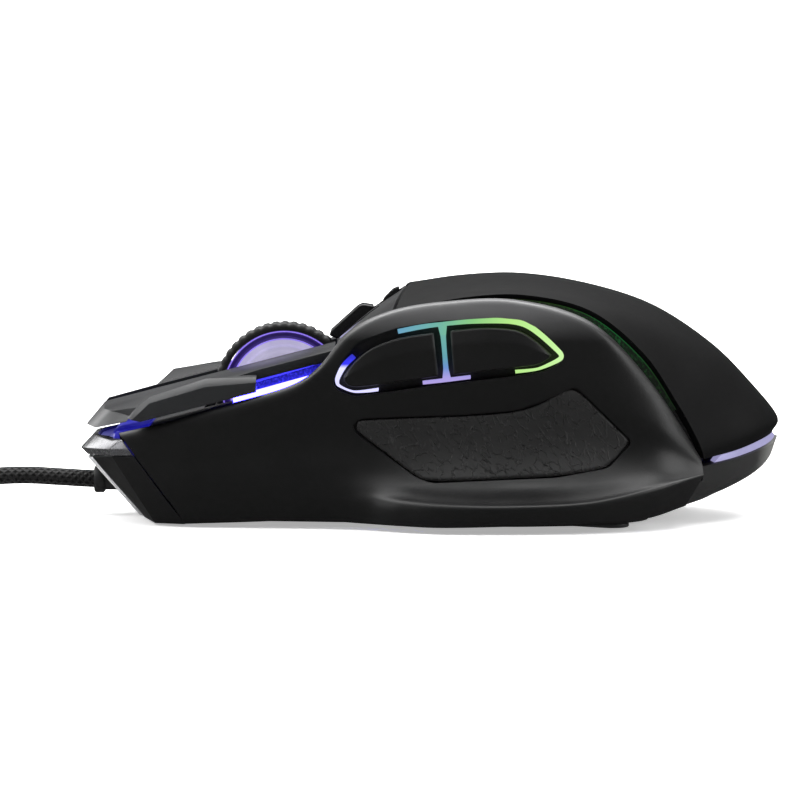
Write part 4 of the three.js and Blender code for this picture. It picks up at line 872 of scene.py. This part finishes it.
def padded_patch(drape, name, upper, lower, rows, columns, lift, edge, wall):
    """A patch between an upper and a lower line, with its rim rolled down, laid on a side skin."""
    top, bottom = smooth_line(upper, columns + 1), smooth_line(lower, columns + 1)
    share = np.linspace(0, 1, rows + 1)[:, None, None]
    share = share - np.sin(share * math.tau) / math.tau * 0.55
    flat = bottom * (1 - share) + top * share
    rim = outline_distance(flat, [tuple(p) for p in np.concatenate([bottom, top[::-1]])])
    roll = np.clip(rim / edge, 0, 1)
    lifts = lift(share[..., 0] * np.ones(flat.shape[:2])) - edge * (1 - np.sqrt(1 - (1 - roll) ** 2))
    return thicken(drape.sheet(name, flat, lifts), wall)


def ribbon(drape, name, path, widths, lift, wall, count=60, columns=4):
    """A strip of changing width along a path, laid on a side skin."""
    line = smooth_line(path, count)
    ahead = np.gradient(line, axis=0)
    ahead /= np.linalg.norm(ahead, axis=1)[:, None]
    across = np.stack([-ahead[:, 1], ahead[:, 0]], 1)
    half = np.interp(np.linspace(0, 1, count), np.linspace(0, 1, len(widths)), widths) / 2
    offsets = np.linspace(1, -1, columns + 1)
    flat = np.stack([line + across * (half * o)[:, None] for o in offsets], 1)
    lifts = lift - 0.1 * half[:, None] * (offsets**4)[None, :]
    return thicken(drape.sheet(name, flat, lifts), wall)


# ------------------------------------------------------------------ shells


def make_side_skins(finishes):
    thumb_points = flow(THUMB_SIDE, 240, 110)
    thumb = lay_sheet("thumb_side_skin", thumb_points, (0, -1, 0))
    drape = Drape(thumb, -1)
    thicken(thumb, WALL)
    trim(thumb, block("window_tool", grown(WINDOW, 0.3), -60, -20, rounding=1.2))
    groove = block("groove_tool", grown(THUMB_GRIP, 0.2), -60, -20, rounding=1.0, steps=6)
    recess = drape.sheet("recess", *recess_grid(-18, 40, 5, 30))
    thicken(recess, 2.4)
    trim(groove, recess, "INTERSECT")
    trim(thumb, groove)
    dress(thumb, finishes["satin_with_painted_crest_highlight"], "housing", "thumb_side_shell", slot="satin_black", crease=40)

    finger = lay_sheet("finger_side_skin", flow(FINGER_SIDE, 200, 90), (0, 1, 0))
    far = Drape(finger, 1)
    thicken(finger, WALL)
    groove = block("groove_tool", grown(FINGER_GRIP, 0.25), 20, 60, rounding=2.0, steps=8)
    recess = far.sheet("recess", *recess_grid(-26, 38, 5, 27))
    thicken(recess, 2.4)
    trim(groove, recess, "INTERSECT")
    trim(finger, groove)
    dress(finger, finishes["satin_with_painted_crest_highlight"], "housing", "finger_side_shell", slot="satin_black", crease=40)
    return drape, far


def recess_grid(x0, x1, z0, z1):
    """A flat grid, with the lift that leaves a groove 0.9 deep under it."""
    flat = np.stack(np.meshgrid(np.linspace(x0, x1, 90), np.linspace(z0, z1, 40)), -1)
    return flat, np.full(flat.shape[:2], 1.5)


def make_grips(finishes, drape, far):
    upper = [(-13.1, 18.9), (-12.0, 19.3), (-4.0, 19.7), (6.0, 20.1), (14.0, 20.8), (18.6, 22.0),
             (22.2, 24.0), (24.6, 24.9), (26.4, 24.2)]
    lower = [(-13.3, 18.0), (-12.6, 17.1), (-8.0, 13.6), (-2.6, 9.8), (0.2, 9.1), (11.0, 9.4), (22.0, 10.0),
             (28.5, 10.9),
             (31.4, 11.9), (34.6, 15.2), (34.8, 16.1)]
    pad = padded_patch(drape, "thumb_grip_rubber", upper, lower, 40, 110, lambda share: GRIP_LIFT, 0.45, 0.9)
    dress(pad, finishes["grip_rubber"], "housing", "thumb_grip_pad", slot="grip_rubber", crease=60)
    upper = [(-21.6, 18.4), (-10.0, 19.9), (2.0, 21.2), (14.0, 21.9), (23.8, 22.2), (34.0, 14.9)]
    lower = [(-20.8, 17.8), (-15.0, 13.6), (-8.8, 10.2), (-4.0, 9.7), (12.0, 10.2), (27.8, 10.9),
             (33.8, 14.2)]
    pad = padded_patch(far, "finger_grip_rubber", upper, lower, 34, 90, lambda share: GRIP_LIFT, 0.45, 0.9)
    dress(pad, finishes["grip_rubber"], "housing", "finger_grip_pad", slot="grip_rubber", crease=60)


def make_palm(finishes):
    palm = lay_sheet("palm_skin", flow(PALM, 150, 110, 12), (0, 0, 1))
    dress(thicken(palm, 1.6), finishes["soft_touch"], "housing", "palm_cover", slot="soft_touch", crease=50)


def make_base(finishes):
    tail = thicken(lay_sheet("tail_skin", flow(TAIL, 90, 26, 4), (1, 0, -1)), 1.5)
    dress(tail, finishes["tail_smoke"], "housing", "base_shell", slot="satin_black", crease=50)
    outline = [
        (-42.6, -9), (-42.6, -21.6), (-25, -23.2), (-12, -25.4), (0, -31.0), (14, -33.6), (27, -31.4),
        (34, -27.0),
        (38.6, -22.0), (39.6, -12), (39.6, 12), (38.6, 22.0), (34, 28), (27, 31.6), (16, 34.6), (3, 34.0),
        (-10, 30.4),
        (-25, 26.4), (-42.6, 22.6), (-42.6, 9),
    ]
    tray = block("base_tray", outline, 0.9, 2.5, "Z", rounding=4)
    for x, y in ((-31.6, -19), (-31.6, 19), (34.0, -20), (34.0, 20)):
        trim(tray, block("screw_well", circle(x, y, 2.3, 32), 0, 2.2, "Z"))
    trim(tray, block("sensor_window", circle(2, 0, 3.8, 40), 0, 5, "Z"))
    dress(soften(tray, 0.25, 2, 60), finishes["satin_black"], "housing", slot="satin_black")
    ramp = both_sides([(38.4, 21.5, 1.1), (39.4, 12, 1.0), (41.5, 21.2, 2.6), (47.4, 13.2, 3.6),
                       (52.2, 6.4, 4.8), (53.8, 0, 5.2),
                       (38.4, 21.5, 2.6), (47.4, 13.2, 5.2), (52.2, 6.4, 6.6), (53.8, 0, 7.0)])
    dress(carved("tail_ramp", ramp, 0.3), finishes["satin_black"], "housing", slot="satin_black")


def make_liners(finishes):
    """Dark liners behind the rear corners' gaps, and under the joint of the bridge and the palm cover."""
    joint = [(-9.5, 7, 35.8), (-1.5, 7, 38.4), (-9.8, 16, 33.4), (-2.5, 16, 35.8), (-9.5, 22.6, 29.6),
             (-4, 22.8, 31.4),
             (-8, 7, 30), (-3, 7, 30), (-8, 20, 27.5), (-4, 20, 27.5)]
    for name, side, reach in (("left", -1, 20.8), ("right", 1, 22.8)):
        liner = carved(f"{name}_joint_liner", [(x, min(y, reach), z) for x, y, z in joint], 0.2, 2, side)
        dress(liner, finishes["frame_black"], "housing", slot="frame_black")
    corner = [(42.5, 18.5, 2.8), (42.5, 22.0, 2.8), (47.0, 16.5, 8.0), (46.4, 21.2, 9.8),
              (49.0, 17.0, 11.5), (48.6, 19.4, 11.8),
              (49.0, 17.0, 15.0), (47.2, 20.6, 15.5), (45.4, 21.4, 19.0), (43.0, 22.0, 22.0),
              (42.0, 19.0, 22.0)]
    for name, side in SIDES:
        liner = carved(f"{name}_corner_liner", corner, 0.2, 2, side)
        dress(liner, finishes["frame_black"], "housing", slot="frame_black")


def make_bridge(finishes):
    bridge = thicken(lay_sheet("bridge_skin", flow(BRIDGE, 40, 80, 2), (-1, 0, 1)), 1.6)
    room = turned("wheel_room", [(0.001, -5.2), (14.0, -5.2), (14.0, 5.2), (0.001, 5.2)], 96, WHEEL_CENTRE)
    trim(bridge, room)
    trim(bridge, block("key_room", rectangle(-19.0, 26, -9.9, 48), -KEY_ROOM, KEY_ROOM))
    trim(bridge, block("key_room", rectangle(-9.2, 26, -5.25, 48), -KEY_ROOM, KEY_ROOM))
    for side in (-1, 1):
        strip = rectangle(-16.2, 26, -9.3, 48)
        trim(bridge, block("strip_room", strip, *sorted((side * 5.25, side * 7.05))))
    dress(soften(bridge, 0.2, 2, 55), finishes["bridge_black"], "housing", "bridge_cover",
          slot="gloss_black", crease=50)

    front = [(-18.4, 33.0), (-18.2, 33.9), (-13.2, 38.4), (-12.3, 38.8), (-10.3, 38.5), (-10.2, 34.4),
             (-15.4, 31.8)]
    key = soften(block("front_mode_key", front, -3.4, 3.4, rounding=0.3), 0.5, 3)
    dress(key, finishes["gloss_black"], "dpi_front_body", "dpi_front_button", slot="gloss_black")
    rear = [(-8.9, 38.0), (-8.6, 39.6), (-6.8, 41.4), (-5.6, 41.9), (-5.6, 32.2), (-8.0, 32.2), (-8.0, 36.6)]
    key = soften(block("rear_mode_key", rear, -3.4, 3.4, rounding=0.4), 0.35, 3)
    dress(key, finishes["gloss_black"], "dpi_rear_body", "dpi_rear_button", slot="gloss_black")
    for name, side in SIDES:
        outline = [(-16.4, 31.1), (-16.4, 32.9), (-12.3, 36.2), (-9.6, 37.7), (-9.6, 35.9)]
        strip = soften(block(f"{name}_spine_light", outline, *sorted((side * 5.6, side * 6.7))), 0.15, 2)
        dress(strip, finishes["lavender_light"], "housing", f"spine_light_{name}", slot="lavender_light")


# ------------------------------------------------------------------ thumb buttons


def make_thumb_keys(finishes, drape):
    floor_grid = np.stack(np.meshgrid(np.linspace(-18.5, 24.5, 70), np.linspace(23.2, 38.2, 30)), -1)
    floor = drape.sheet("thumb_recess_floor", floor_grid, np.full(floor_grid.shape[:2], -2.6))
    thicken(floor, 0.4)
    trim(floor, block("floor_tool", grown(WINDOW, 0.9), -60, -20, rounding=1.2), "INTERSECT")
    dress(floor, finishes["frame_black"], "housing", slot="frame_black")

    def crowned(crease, fall):
        def lift(share):
            above = np.clip((share - crease) / (1 - crease), 0, 1)
            below = np.clip((crease - share) / crease, 0, 1)
            return 0.42 - fall * above - 0.1 * np.sin(below * math.pi)

        return lift

    upper = [(-15.5, 27.2), (-13.6, 29.8), (-10.4, 32.3), (-5.4, 34.1), (0.4, 35.0)]
    lower = [(-15.4, 26.4), (-14.4, 25.5), (-12.0, 25.4), (-5.0, 26.4), (1.3, 27.3)]
    front = padded_patch(drape, "forward_thumb_key", upper, lower, 30, 60, crowned(0.62, 0.5), 0.4, 1.6)
    dress(front, finishes["satin_black"], "forward_body", "forward_button", slot="satin_black", crease=60)
    upper = [(3.3, 35.4), (8.0, 35.9), (12.0, 35.9), (15.4, 35.4), (18.2, 33.8), (21.2, 31.2)]
    lower = [(3.9, 27.6), (8.0, 28.1), (14.8, 28.9), (18.8, 29.5), (20.8, 30.6)]
    back = padded_patch(drape, "back_thumb_key", upper, lower, 30, 60, crowned(0.66, 0.5), 0.4, 1.6)
    dress(back, finishes["satin_black"], "back_body", "back_button", slot="satin_black", crease=60)

    light = finishes["rainbow_light"]
    hook = [(-13.7, 30.8), (-15.3, 29.2), (-16.4, 27.2), (-16.6, 26.1), (-16.1, 25.4), (-13.9, 24.5),
            (-11.6, 24.55), (-9.4, 24.85)]
    parts = [
        ("front_hook", hook, [1.0, 1.0, 0.95, 0.8, 0.42, 0.36, 0.45, 0.58, 0.62], 70),
        ("top_bar", [(-5.9, 35.2), (-2.0, 36.0), (1.6, 36.5), (6.6, 37.0), (11.6, 37.2), (14.6, 37.05),
                     (17.0, 36.3), (19.4, 34.6),
                     (22.0, 32.2), (22.9, 31.1), (22.5, 30.3), (19.8, 29.0), (18.0, 28.5), (14.8, 28.15)],
         [0.85, 0.85, 0.75, 0.8, 0.95, 1.1, 1.05, 0.95, 0.8, 0.5, 0.65], 160),
        ("stem", [(1.95, 36.3), (2.3, 32.0), (2.6, 28.4), (2.75, 26.6)], [1.6, 0.95, 0.85, 0.85, 0.95, 1.6],
         40),
        ("foot_bar", [(-1.5, 26.1), (2.7, 26.6), (6.9, 27.15)], [0.68, 0.72, 0.68], 20),
    ]
    for k, (name, path, widths, count) in enumerate(parts):
        strip = ribbon(drape, f"thumb_light_{name}", path, widths, -0.18, 0.9, count)
        if k == 0:
            dress(strip, light, "housing", "thumb_light_guide", slot="rainbow_light", crease=60)
        else:
            dress(strip, light, "housing", slot="rainbow_light", crease=60)


# ------------------------------------------------------------------ main buttons


def button_top(x):
    return 21.2 + (x + 59.1) * 0.259


def main_button(side):
    name = "left" if side < 0 else "right"
    plan = [(-17.2, 5.2, 0), (-17.2, 14.0, 0.2), (-17.2, 23.9, 0.5), (-59.3, 5.2, 0), (-58.9, 13.0, 0.9),
            (-57.3, 17.2, 1.4),
            (-52.6, 22.2, 1.7), (-30.6, 23.9, 0.5)]
    corners = [(x, y, button_top(x) - drop) for x, y,
               drop in plan] + [(x, y, button_top(x) - drop - 1.7) for x, y, drop in plan]
    plate = carved(f"{name}_button", corners, 0)
    lip = [(-59.3, 5.2, 21.1), (-58.9, 13.0, 20.3), (-57.3, 17.2, 20.2), (-62.4, 5.2, 17.4),
           (-62.4, 8.2, 17.2), (-60.2, 17.2, 17.2),
           (-54.4, 21.8, 18.6), (-55.0, 5.2, 19.4), (-54.0, 5.2, 20.6), (-53.6, 21.8, 19.6)]
    trim(plate, carved("lip", lip, 0), "UNION")
    fin = [(-54.0, 24.2, 19.5), (-53.2, 25.8, 19.2), (-51.6, 26.2, 18.9), (-51.9, 24.8, 21.9),
           (-50.0, 24.8, 23.3), (-50.0, 26.0, 22.2),
           (-40.0, 25.8, 26.6), (-40.0, 27.3, 25.2), (-31.0, 26.2, 26.9), (-31.0, 27.3, 26.0),
           (-36.0, 27.3, 23.0), (-31.0, 27.3, 24.3),
           (-31.0, 23.4, 27.2), (-31.0, 23.4, 25.0), (-50.0, 23.0, 21.0), (-52.0, 21.8, 21.4)]
    if side > 0:
        fin += [(-48.2, 24.2, 25.3), (-48.2, 25.8, 25.1), (-39.6, 24.6, 26.0)]
    trim(plate, carved("fin", fin, 0), "UNION")
    bm = bmesh.new()
    bm.from_mesh(plate.data)
    for vertex in bm.verts:
        vertex.co.y *= side
    bmesh.ops.remove_doubles(bm, verts=bm.verts, dist=1e-6)
    bmesh.ops.dissolve_limit(bm, angle_limit=math.radians(1), verts=bm.verts, edges=bm.edges)
    bmesh.ops.recalc_face_normals(bm, faces=bm.faces)
    bm.to_mesh(plate.data)
    bm.free()
    return soften(plate, 0.3, 3, 20)


def make_buttons(finishes):
    for name, side in SIDES:
        plate = main_button(side)
        dress(plate, finishes["button_grey"], f"{name}_click_body", f"{name}_button_plate",
              slot="button_grey", crease=30)
        low, high = sorted((side * 21.8, side * 23.2))
        outline = [(-35.2, 20.6), (-35.2, 23.2), (-20.4, 27.3), (-20.4, 22.6), (-30.0, 20.6)]
        bar = soften(block(f"{name}_light_strip", outline, low, high), 0.15, 2)
        dress(bar, finishes["blue_light"], "housing", f"{name}_light_bar", slot="blue_light")
        low, high = sorted((side * 21.0, side * 21.75))
        outline = [(-35.2, 21.0), (-35.2, 25.4), (-16.9, 30.2), (-16.9, 23.5)]
        wall = soften(block(f"{name}_recess_wall", outline, low, high), 0.1, 2)
        near, far = sorted((side * 20.6, side * 24.9))
        outline = [(-37.0, 17.6), (-37.0, 18.4), (-20.4, 20.2), (-20.4, 19.4)]
        shelf = soften(block(f"{name}_recess_shelf", outline, near, far), 0.1, 2)
        dress(shelf, finishes["pitted_black"], "housing", slot="frame_black")
        dress(wall, finishes["recess_painted_glow"], "housing", slot="frame_black")


# ------------------------------------------------------------------ nose


def seam_x(z):
    return -43.8 - (z - 1.0) * 0.747


def nose_outline(inset):
    rim = [(seam_x(z) - 0.35 - inset * 0.3, y - inset, z) for y, z in ((25.1, 4), (25.4, 8), (24.7, 12.6))]
    return both_sides([
        (-52.3 + inset, 7.6 - inset, 0.35 + inset), (-51.5 + inset, 10.4 - inset, 0.35 + inset),
        (-49.3 + inset, 21.2 - inset, 0.4 + inset), (-43.8 + inset * 0.4, 24.3 - inset, 0.5 + inset), *rim,
        (-62.1 + inset, 6.4 - inset, 11.3),
        (-61.2 + inset, 9.9 - inset, 11.4), (-57.0 + inset, 21.2 - inset, 12.4)])


def make_nose(finishes):
    shell = carved("nose_skin", nose_outline(0), 0)
    ring = circle(0, LEAD_ROUTE[0][2], 2.6, 48)
    trim(shell, carved("nose_inside", [(a + 3.6, b, c) for a, b, c in nose_outline(1.6)], 0))
    trim(shell, block("cable_hole", ring, -70, -45, "X"))
    dress(soften(shell, 0.55, 4, 20), finishes["satin_black"], "housing", "nose_shell", slot="satin_black",
          crease=40)

    cap = carved("nose_cap", both_sides([
        (-62.3, 6.0, 11.5), (-61.3, 10.0, 11.6), (-56.9, 21.4, 12.5), (-53.05, 24.5, 12.8),
        (-63.7, 5.6, 12.8), (-62.4, 10.3, 13.0),
        (-57.5, 22.0, 13.6), (-53.8, 24.4, 13.8), (-61.4, 5.8, 15.3), (-60.5, 9.6, 15.3),
        (-56.8, 21.0, 15.4), (-55.1, 23.3, 15.6)]), 0)
    well = carved("nose_well", both_sides([
        (-60.6, 4.6, 11.0), (-59.8, 8.8, 11.0), (-56.2, 19.8, 11.0), (-47, 20.8, 11.0), (-60.6, 4.6, 18),
        (-59.8, 8.8, 18),
        (-56.2, 19.8, 18), (-47, 20.8, 18)]), 0)
    trim(cap, well)
    dress(soften(cap, 0.25, 3, 18), finishes["polished_metal"], "housing", "nose_bezel",
          slot="polished_metal", crease=30)

    glass = carved("nose_glass", both_sides([
        (-60.3, 4.6, 12.4), (-59.5, 8.6, 12.4), (-56.0, 19.4, 12.4), (-52, 20.4, 12.4), (-60.3, 4.6, 14.8),
        (-59.5, 8.6, 14.9),
        (-56.0, 19.4, 15.2), (-52, 20.4, 15.6)]), 0.15, 2)
    dress(glass, finishes["blue_nose_glass"], "housing", "nose_light_guide", slot="blue_light")
    ridge = carved("nose_glass_ridge", both_sides([
        (-58.2, 12.0, 14.9), (-56.8, 19.4, 15.1), (-57.2, 13.0, 16.4), (-56.5, 19.6, 16.7),
        (-50.4, 20.6, 18.1), (-50.4, 21.0, 15.6),
        (-50.4, 12, 17.9)]), 0.2, 3)
    dress(ridge, finishes["blue_nose_ridge"], "housing", slot="blue_light")

    for name, side in SIDES:
        lines = []
        for shift, back in ((0.0, 0.0), (2.5, 0.85)):
            line = [(-62.5 + back, 6.0 + shift, 11.2), (-62.35 + back, 6.6 + shift, 11.1),
                    (-52.85 + back, 7.3 + shift, 0.45),
                    (-52.7 + back, 7.9 + shift, 0.45)]
            lines.append(carved("line", line + [(a + 0.5, b, c + 0.3) for a, b, c in line], 0.06, 2, side))
        trim_line = joined(f"{name}_nose_trim", *lines)
        dress(trim_line, finishes["trim_chrome"], "housing", f"nose_trim_{name}", slot="trim_chrome")

    x = -58.6
    collar = [(1.75, x - 3.0), (2.2, x - 3.0), (2.5, x - 2.7), (2.5, x - 1.3), (2.2, x - 1.0),
              (2.0, x - 1.0), (2.1, x + 10.8),
              (2.6, x + 11.0), (2.6, x + 12.4), (2.1, x + 12.6), (1.75, x + 12.6)]
    relief = turned("cable_relief", collar, 48, (0, 0, LEAD_ROUTE[0][2]), "X")
    dress(relief, finishes["wheel_rubber"], "housing", "strain_relief", slot="wheel_rubber", crease=50)


# ------------------------------------------------------------------ lit strips in the grooves


def strip_between(name, first, second, drop, wall, inset, shape=1.0, outwards=(0, 0, 1)):
    """A strip that fills the groove between two edges, set down a little, with a shallow crown."""
    offsets = np.linspace(inset, 1 - inset, 9)
    rows = np.stack([first * (1 - o) + second * o for o in offsets], 1)
    crown = np.array((0, 0, 0.25)) * shape * np.sin(np.linspace(0, 1, 9) * math.pi)[None, :, None]
    rows = rows + np.array(drop) + crown
    return thicken(lay_sheet(name, rows, outwards), wall)


def matched(edge, guide):
    """The points of an edge that lie nearest to each point of a guide line."""
    return np.array([edge[np.argmin(np.linalg.norm(edge - p, axis=1))] for p in guide])


def make_groove_lights(finishes):
    crest = flow(THUMB_SIDE, 400, 8, 0)[:, -1]
    palm_edge = flow(PALM, 600, 6, 0)[:, 0]
    guide = smooth_line(crest[262:380], 90)
    strip = strip_between("thumb_groove_light", guide, matched(palm_edge, guide), (-0.25, 0.1, -0.7), 0.8,
                          0.06)
    dress(strip, finishes["green_light"], "housing", "palm_light_left", slot="green_light", crease=60)
    crest = flow(FINGER_SIDE, 400, 7, 0)[:, -1]
    palm_edge = flow(PALM, 600, 6, 0)[:, -1]
    guide = smooth_line(crest[208:370], 90)
    strip = strip_between("finger_groove_light", matched(palm_edge, guide), guide, (-0.25, -0.5, -0.7), 0.8,
                          0.06)
    dress(strip, finishes["green_light"], "housing", "palm_light_right", slot="green_light", crease=60)
    rim = smooth_line(flow(PALM, 8, 200, 0)[-1][19:-19], 90)
    tail = smooth_line(flow(TAIL, 200, 3, 0)[:, -1][19:-19], 90)
    strip = strip_between("tail_glow", rim, tail, (-0.35, 0, 0.0), 1.2, 0.12, 0.3, (1, 0, 0))
    dress(strip, finishes["lavender_light"], "housing", "tail_light_guide", slot="lavender_light", crease=60)


# ------------------------------------------------------------------ wheel

TREADS, TREAD_ROOT, TREAD_DEPTH = 46, 12.3, 0.24


def make_wheel(finishes):
    half = 3.9
    profile = [(11.35, -3.4), (11.4, -half + 0.15), (11.9, -half), (12.5, -half + 0.1)]
    profile += [(WHEEL_RADIUS - 0.16 * (abs(y) / half) ** 3, y) for y in np.linspace(-3.5, 3.5, 15)]
    profile += [(12.5, half - 0.1), (11.9, half), (11.4, half - 0.15), (11.35, 3.4)]
    tyre = turned("wheel_tyre_tread", profile, TREADS * 10, WHEEL_CENTRE)
    bm = bmesh.new()
    bm.from_mesh(tyre.data)
    centre = Vector(WHEEL_CENTRE) * MM
    for vertex in bm.verts:
        spoke = vertex.co - centre
        radius = math.hypot(spoke.x, spoke.z) / MM
        if radius > TREAD_ROOT:
            turn = math.atan2(spoke.z, spoke.x) / math.tau * TREADS
            wave = 0.5 + 0.5 * math.cos(turn * math.tau)
            pad = 1 - max(0.0, (wave - 0.45) / 0.55) ** 0.7 if wave > 0.45 else 1.0
            shoulder = min(1.0, max(0.0, (radius - TREAD_ROOT) / 0.25))
            depth = TREAD_DEPTH * (1 - pad) * shoulder
            scale = (radius - depth) / radius
            vertex.co = centre + Vector((spoke.x * scale, spoke.y, spoke.z * scale))
    bmesh.ops.recalc_face_normals(bm, faces=bm.faces)
    bm.to_mesh(tyre.data)
    bm.free()
    dress(tyre, finishes["wheel_rubber"], "scroll_wheel", "wheel_tyre", slot="wheel_rubber", crease=45)

    rim = turned("wheel_ring", [(9.85, -3.0), (10.1, -3.35), (10.9, -3.6), (11.25, -3.3), (11.25, 3.3),
                                (10.9, 3.6), (10.1, 3.35), (9.85, 3.0)],
                 144, WHEEL_CENTRE)
    dress(rim, finishes["violet_rim"], "scroll_wheel", "wheel_rim", slot="gloss_black", crease=50)
    bands = []
    for radius in (9.8, 11.15):
        for side in (-1, 1):
            band = [(radius - 0.1, side * 3.2), (radius - 0.08, side * 3.66), (radius + 0.1, side * 3.66),
                    (radius + 0.12, side * 3.2)]
            bands.append(turned("band", band, 144, WHEEL_CENTRE))
    dress(joined("wheel_glow_lines", *bands), finishes["violet_line"], "scroll_wheel",
          slot="lavender_light", crease=50)
    face = [(1.65, 2.6), (3.2, 2.6), (3.5, 1.8), (7.2, 1.8), (7.7, 2.5), (8.3, 2.5), (8.7, 1.9), (9.7, 2.2)]
    hub = turned("wheel_disc", [(r, -h) for r, h in face] + [(r, h) for r, h in reversed(face)], 144,
                 WHEEL_CENTRE)
    dress(hub, finishes["wheel_disc"], "scroll_wheel", "wheel_hub", slot="lavender_light", crease=50)


# ------------------------------------------------------------------ the rest


def make_feet(finishes):
    """Glides with rolled edges."""
    for name, angle in (("front_left", 0.45), ("front_right", -0.45), ("rear_left", -0.55),
                        ("rear_right", 0.55)):
        low, high = (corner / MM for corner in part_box(f"glide_foot_{name}"))
        middle = (low + high) / 2
        outline = []
        for along, across in rectangle(-8, -3, 8, 3):
            outline.append((middle.x + along * math.cos(angle) - across * math.sin(angle),
                            middle.y + along * math.sin(angle) + across * math.cos(angle)))
        foot = soften(block(f"glide_{name}", outline, low.z, high.z, "Z", rounding=2.8, steps=8), 0.3, 3, 50)
        dress(foot, finishes["glide"], "housing", f"glide_foot_{name}", slot="glide")


def dress_inner_pieces(finishes):
    """The pieces kept as they are in the frame: boards, switches, screws, carriage and plug tongue."""
    slots = {row["node"]: row["material_slot"] for row in frame["record"]["subparts"]}
    for name, node in frame["nodes"].items():
        if node.hide_render:
            continue
        node.data.materials.clear()
        node.data.materials.append(finishes[slots[name]])


def make_studio():
    """A pale floor that curves up behind, and broad soft lights."""
    bm = bmesh.new()
    profile = [bm.verts.new((-1.6, -1.0, 0)), bm.verts.new((-1.6, 0.7, 0))]
    profile += [bm.verts.new((-1.6, 0.7 + 0.5 * math.sin(a), 0.5 - 0.5 * math.cos(a)))
                for a in np.linspace(0.1, math.pi / 2, 14)]
    profile.append(bm.verts.new((-1.6, 1.2, 2.2)))
    edges = [bm.edges.new(pair) for pair in zip(profile, profile[1:])]
    swept = bmesh.ops.extrude_edge_only(bm, edges=edges)
    bmesh.ops.translate(bm, vec=(3.2, 0, 0), verts=only_verts(swept["geom"]))
    bmesh.ops.recalc_face_normals(bm, faces=bm.faces)
    floor = new_piece("studio_floor", bm)
    finish = Finish("studio_white", (0.93, 0.93, 0.93), 0.9, Specular_IOR_Level=0.1)
    finish.mottle(finish.noise(3), 0.01)
    finish.set(**{"Emission Color": (1.0, 1.0, 1.0, 1.0), "Emission Strength": 0.4})
    floor.data.materials.append(finish.material)
    floor.data.shade_smooth()

    floor.visible_glossy = False
    world = bpy.data.worlds.new("studio_air")
    world.use_nodes = True
    world.node_tree.nodes["Background"].inputs["Color"].default_value = (1, 1, 1, 1)
    world.node_tree.nodes["Background"].inputs["Strength"].default_value = 0.1
    bpy.context.scene.world = world
    lights = (
        ("overhead", (0.05, 0.25, 0.95), (0, 0.02, 0.02), (1.3, 0.9), 19.0),
        ("front_top", (0.1, -0.45, 0.85), (0, 0, 0.02), (0.9, 0.3), 1.9),
        ("nose_back", (-0.75, 0.75, 0.3), (0, 0, 0.02), (0.6, 0.5), 3.0),
        ("back_wash", (0.0, 0.75, 0.9), (0.0, 1.2, 0.4), (1.6, 0.6), 14.0),
        ("nose_high", (-0.65, 0.0, 0.62), (0, 0, 0.02), (0.5, 0.5), 4.5),
        ("nose_side", (-0.95, -0.16, 0.12), (0, 0, 0.02), (0.35, 0.4), 1.1),
        ("palm_side", (0.85, -0.18, 0.38), (0, 0, 0.02), (0.5, 0.5), 3.6),
    )
    for name, place, aim, (width, depth), power in lights:
        data = bpy.data.lights.new(name, "AREA")
        data.shape, data.size, data.size_y, data.energy = "RECTANGLE", width, depth, power
        lamp = bpy.data.objects.new(name, data)
        lamp.location = place
        lamp.rotation_euler = (Vector(aim) - Vector(place)).to_track_quat("-Z", "Y").to_euler()
        bpy.context.scene.collection.objects.link(lamp)
    bpy.context.scene.view_settings.view_transform = "Standard"


def main():
    aim_camera()
    finishes = make_finishes()
    make_cable(finishes)
    drape, far = make_side_skins(finishes)
    make_grips(finishes, drape, far)
    make_palm(finishes)
    make_base(finishes)
    make_liners(finishes)
    make_bridge(finishes)
    make_thumb_keys(finishes, drape)
    make_buttons(finishes)
    make_nose(finishes)
    make_groove_lights(finishes)
    make_wheel(finishes)
    make_feet(finishes)
    dress_inner_pieces(finishes)
    make_studio()


main()
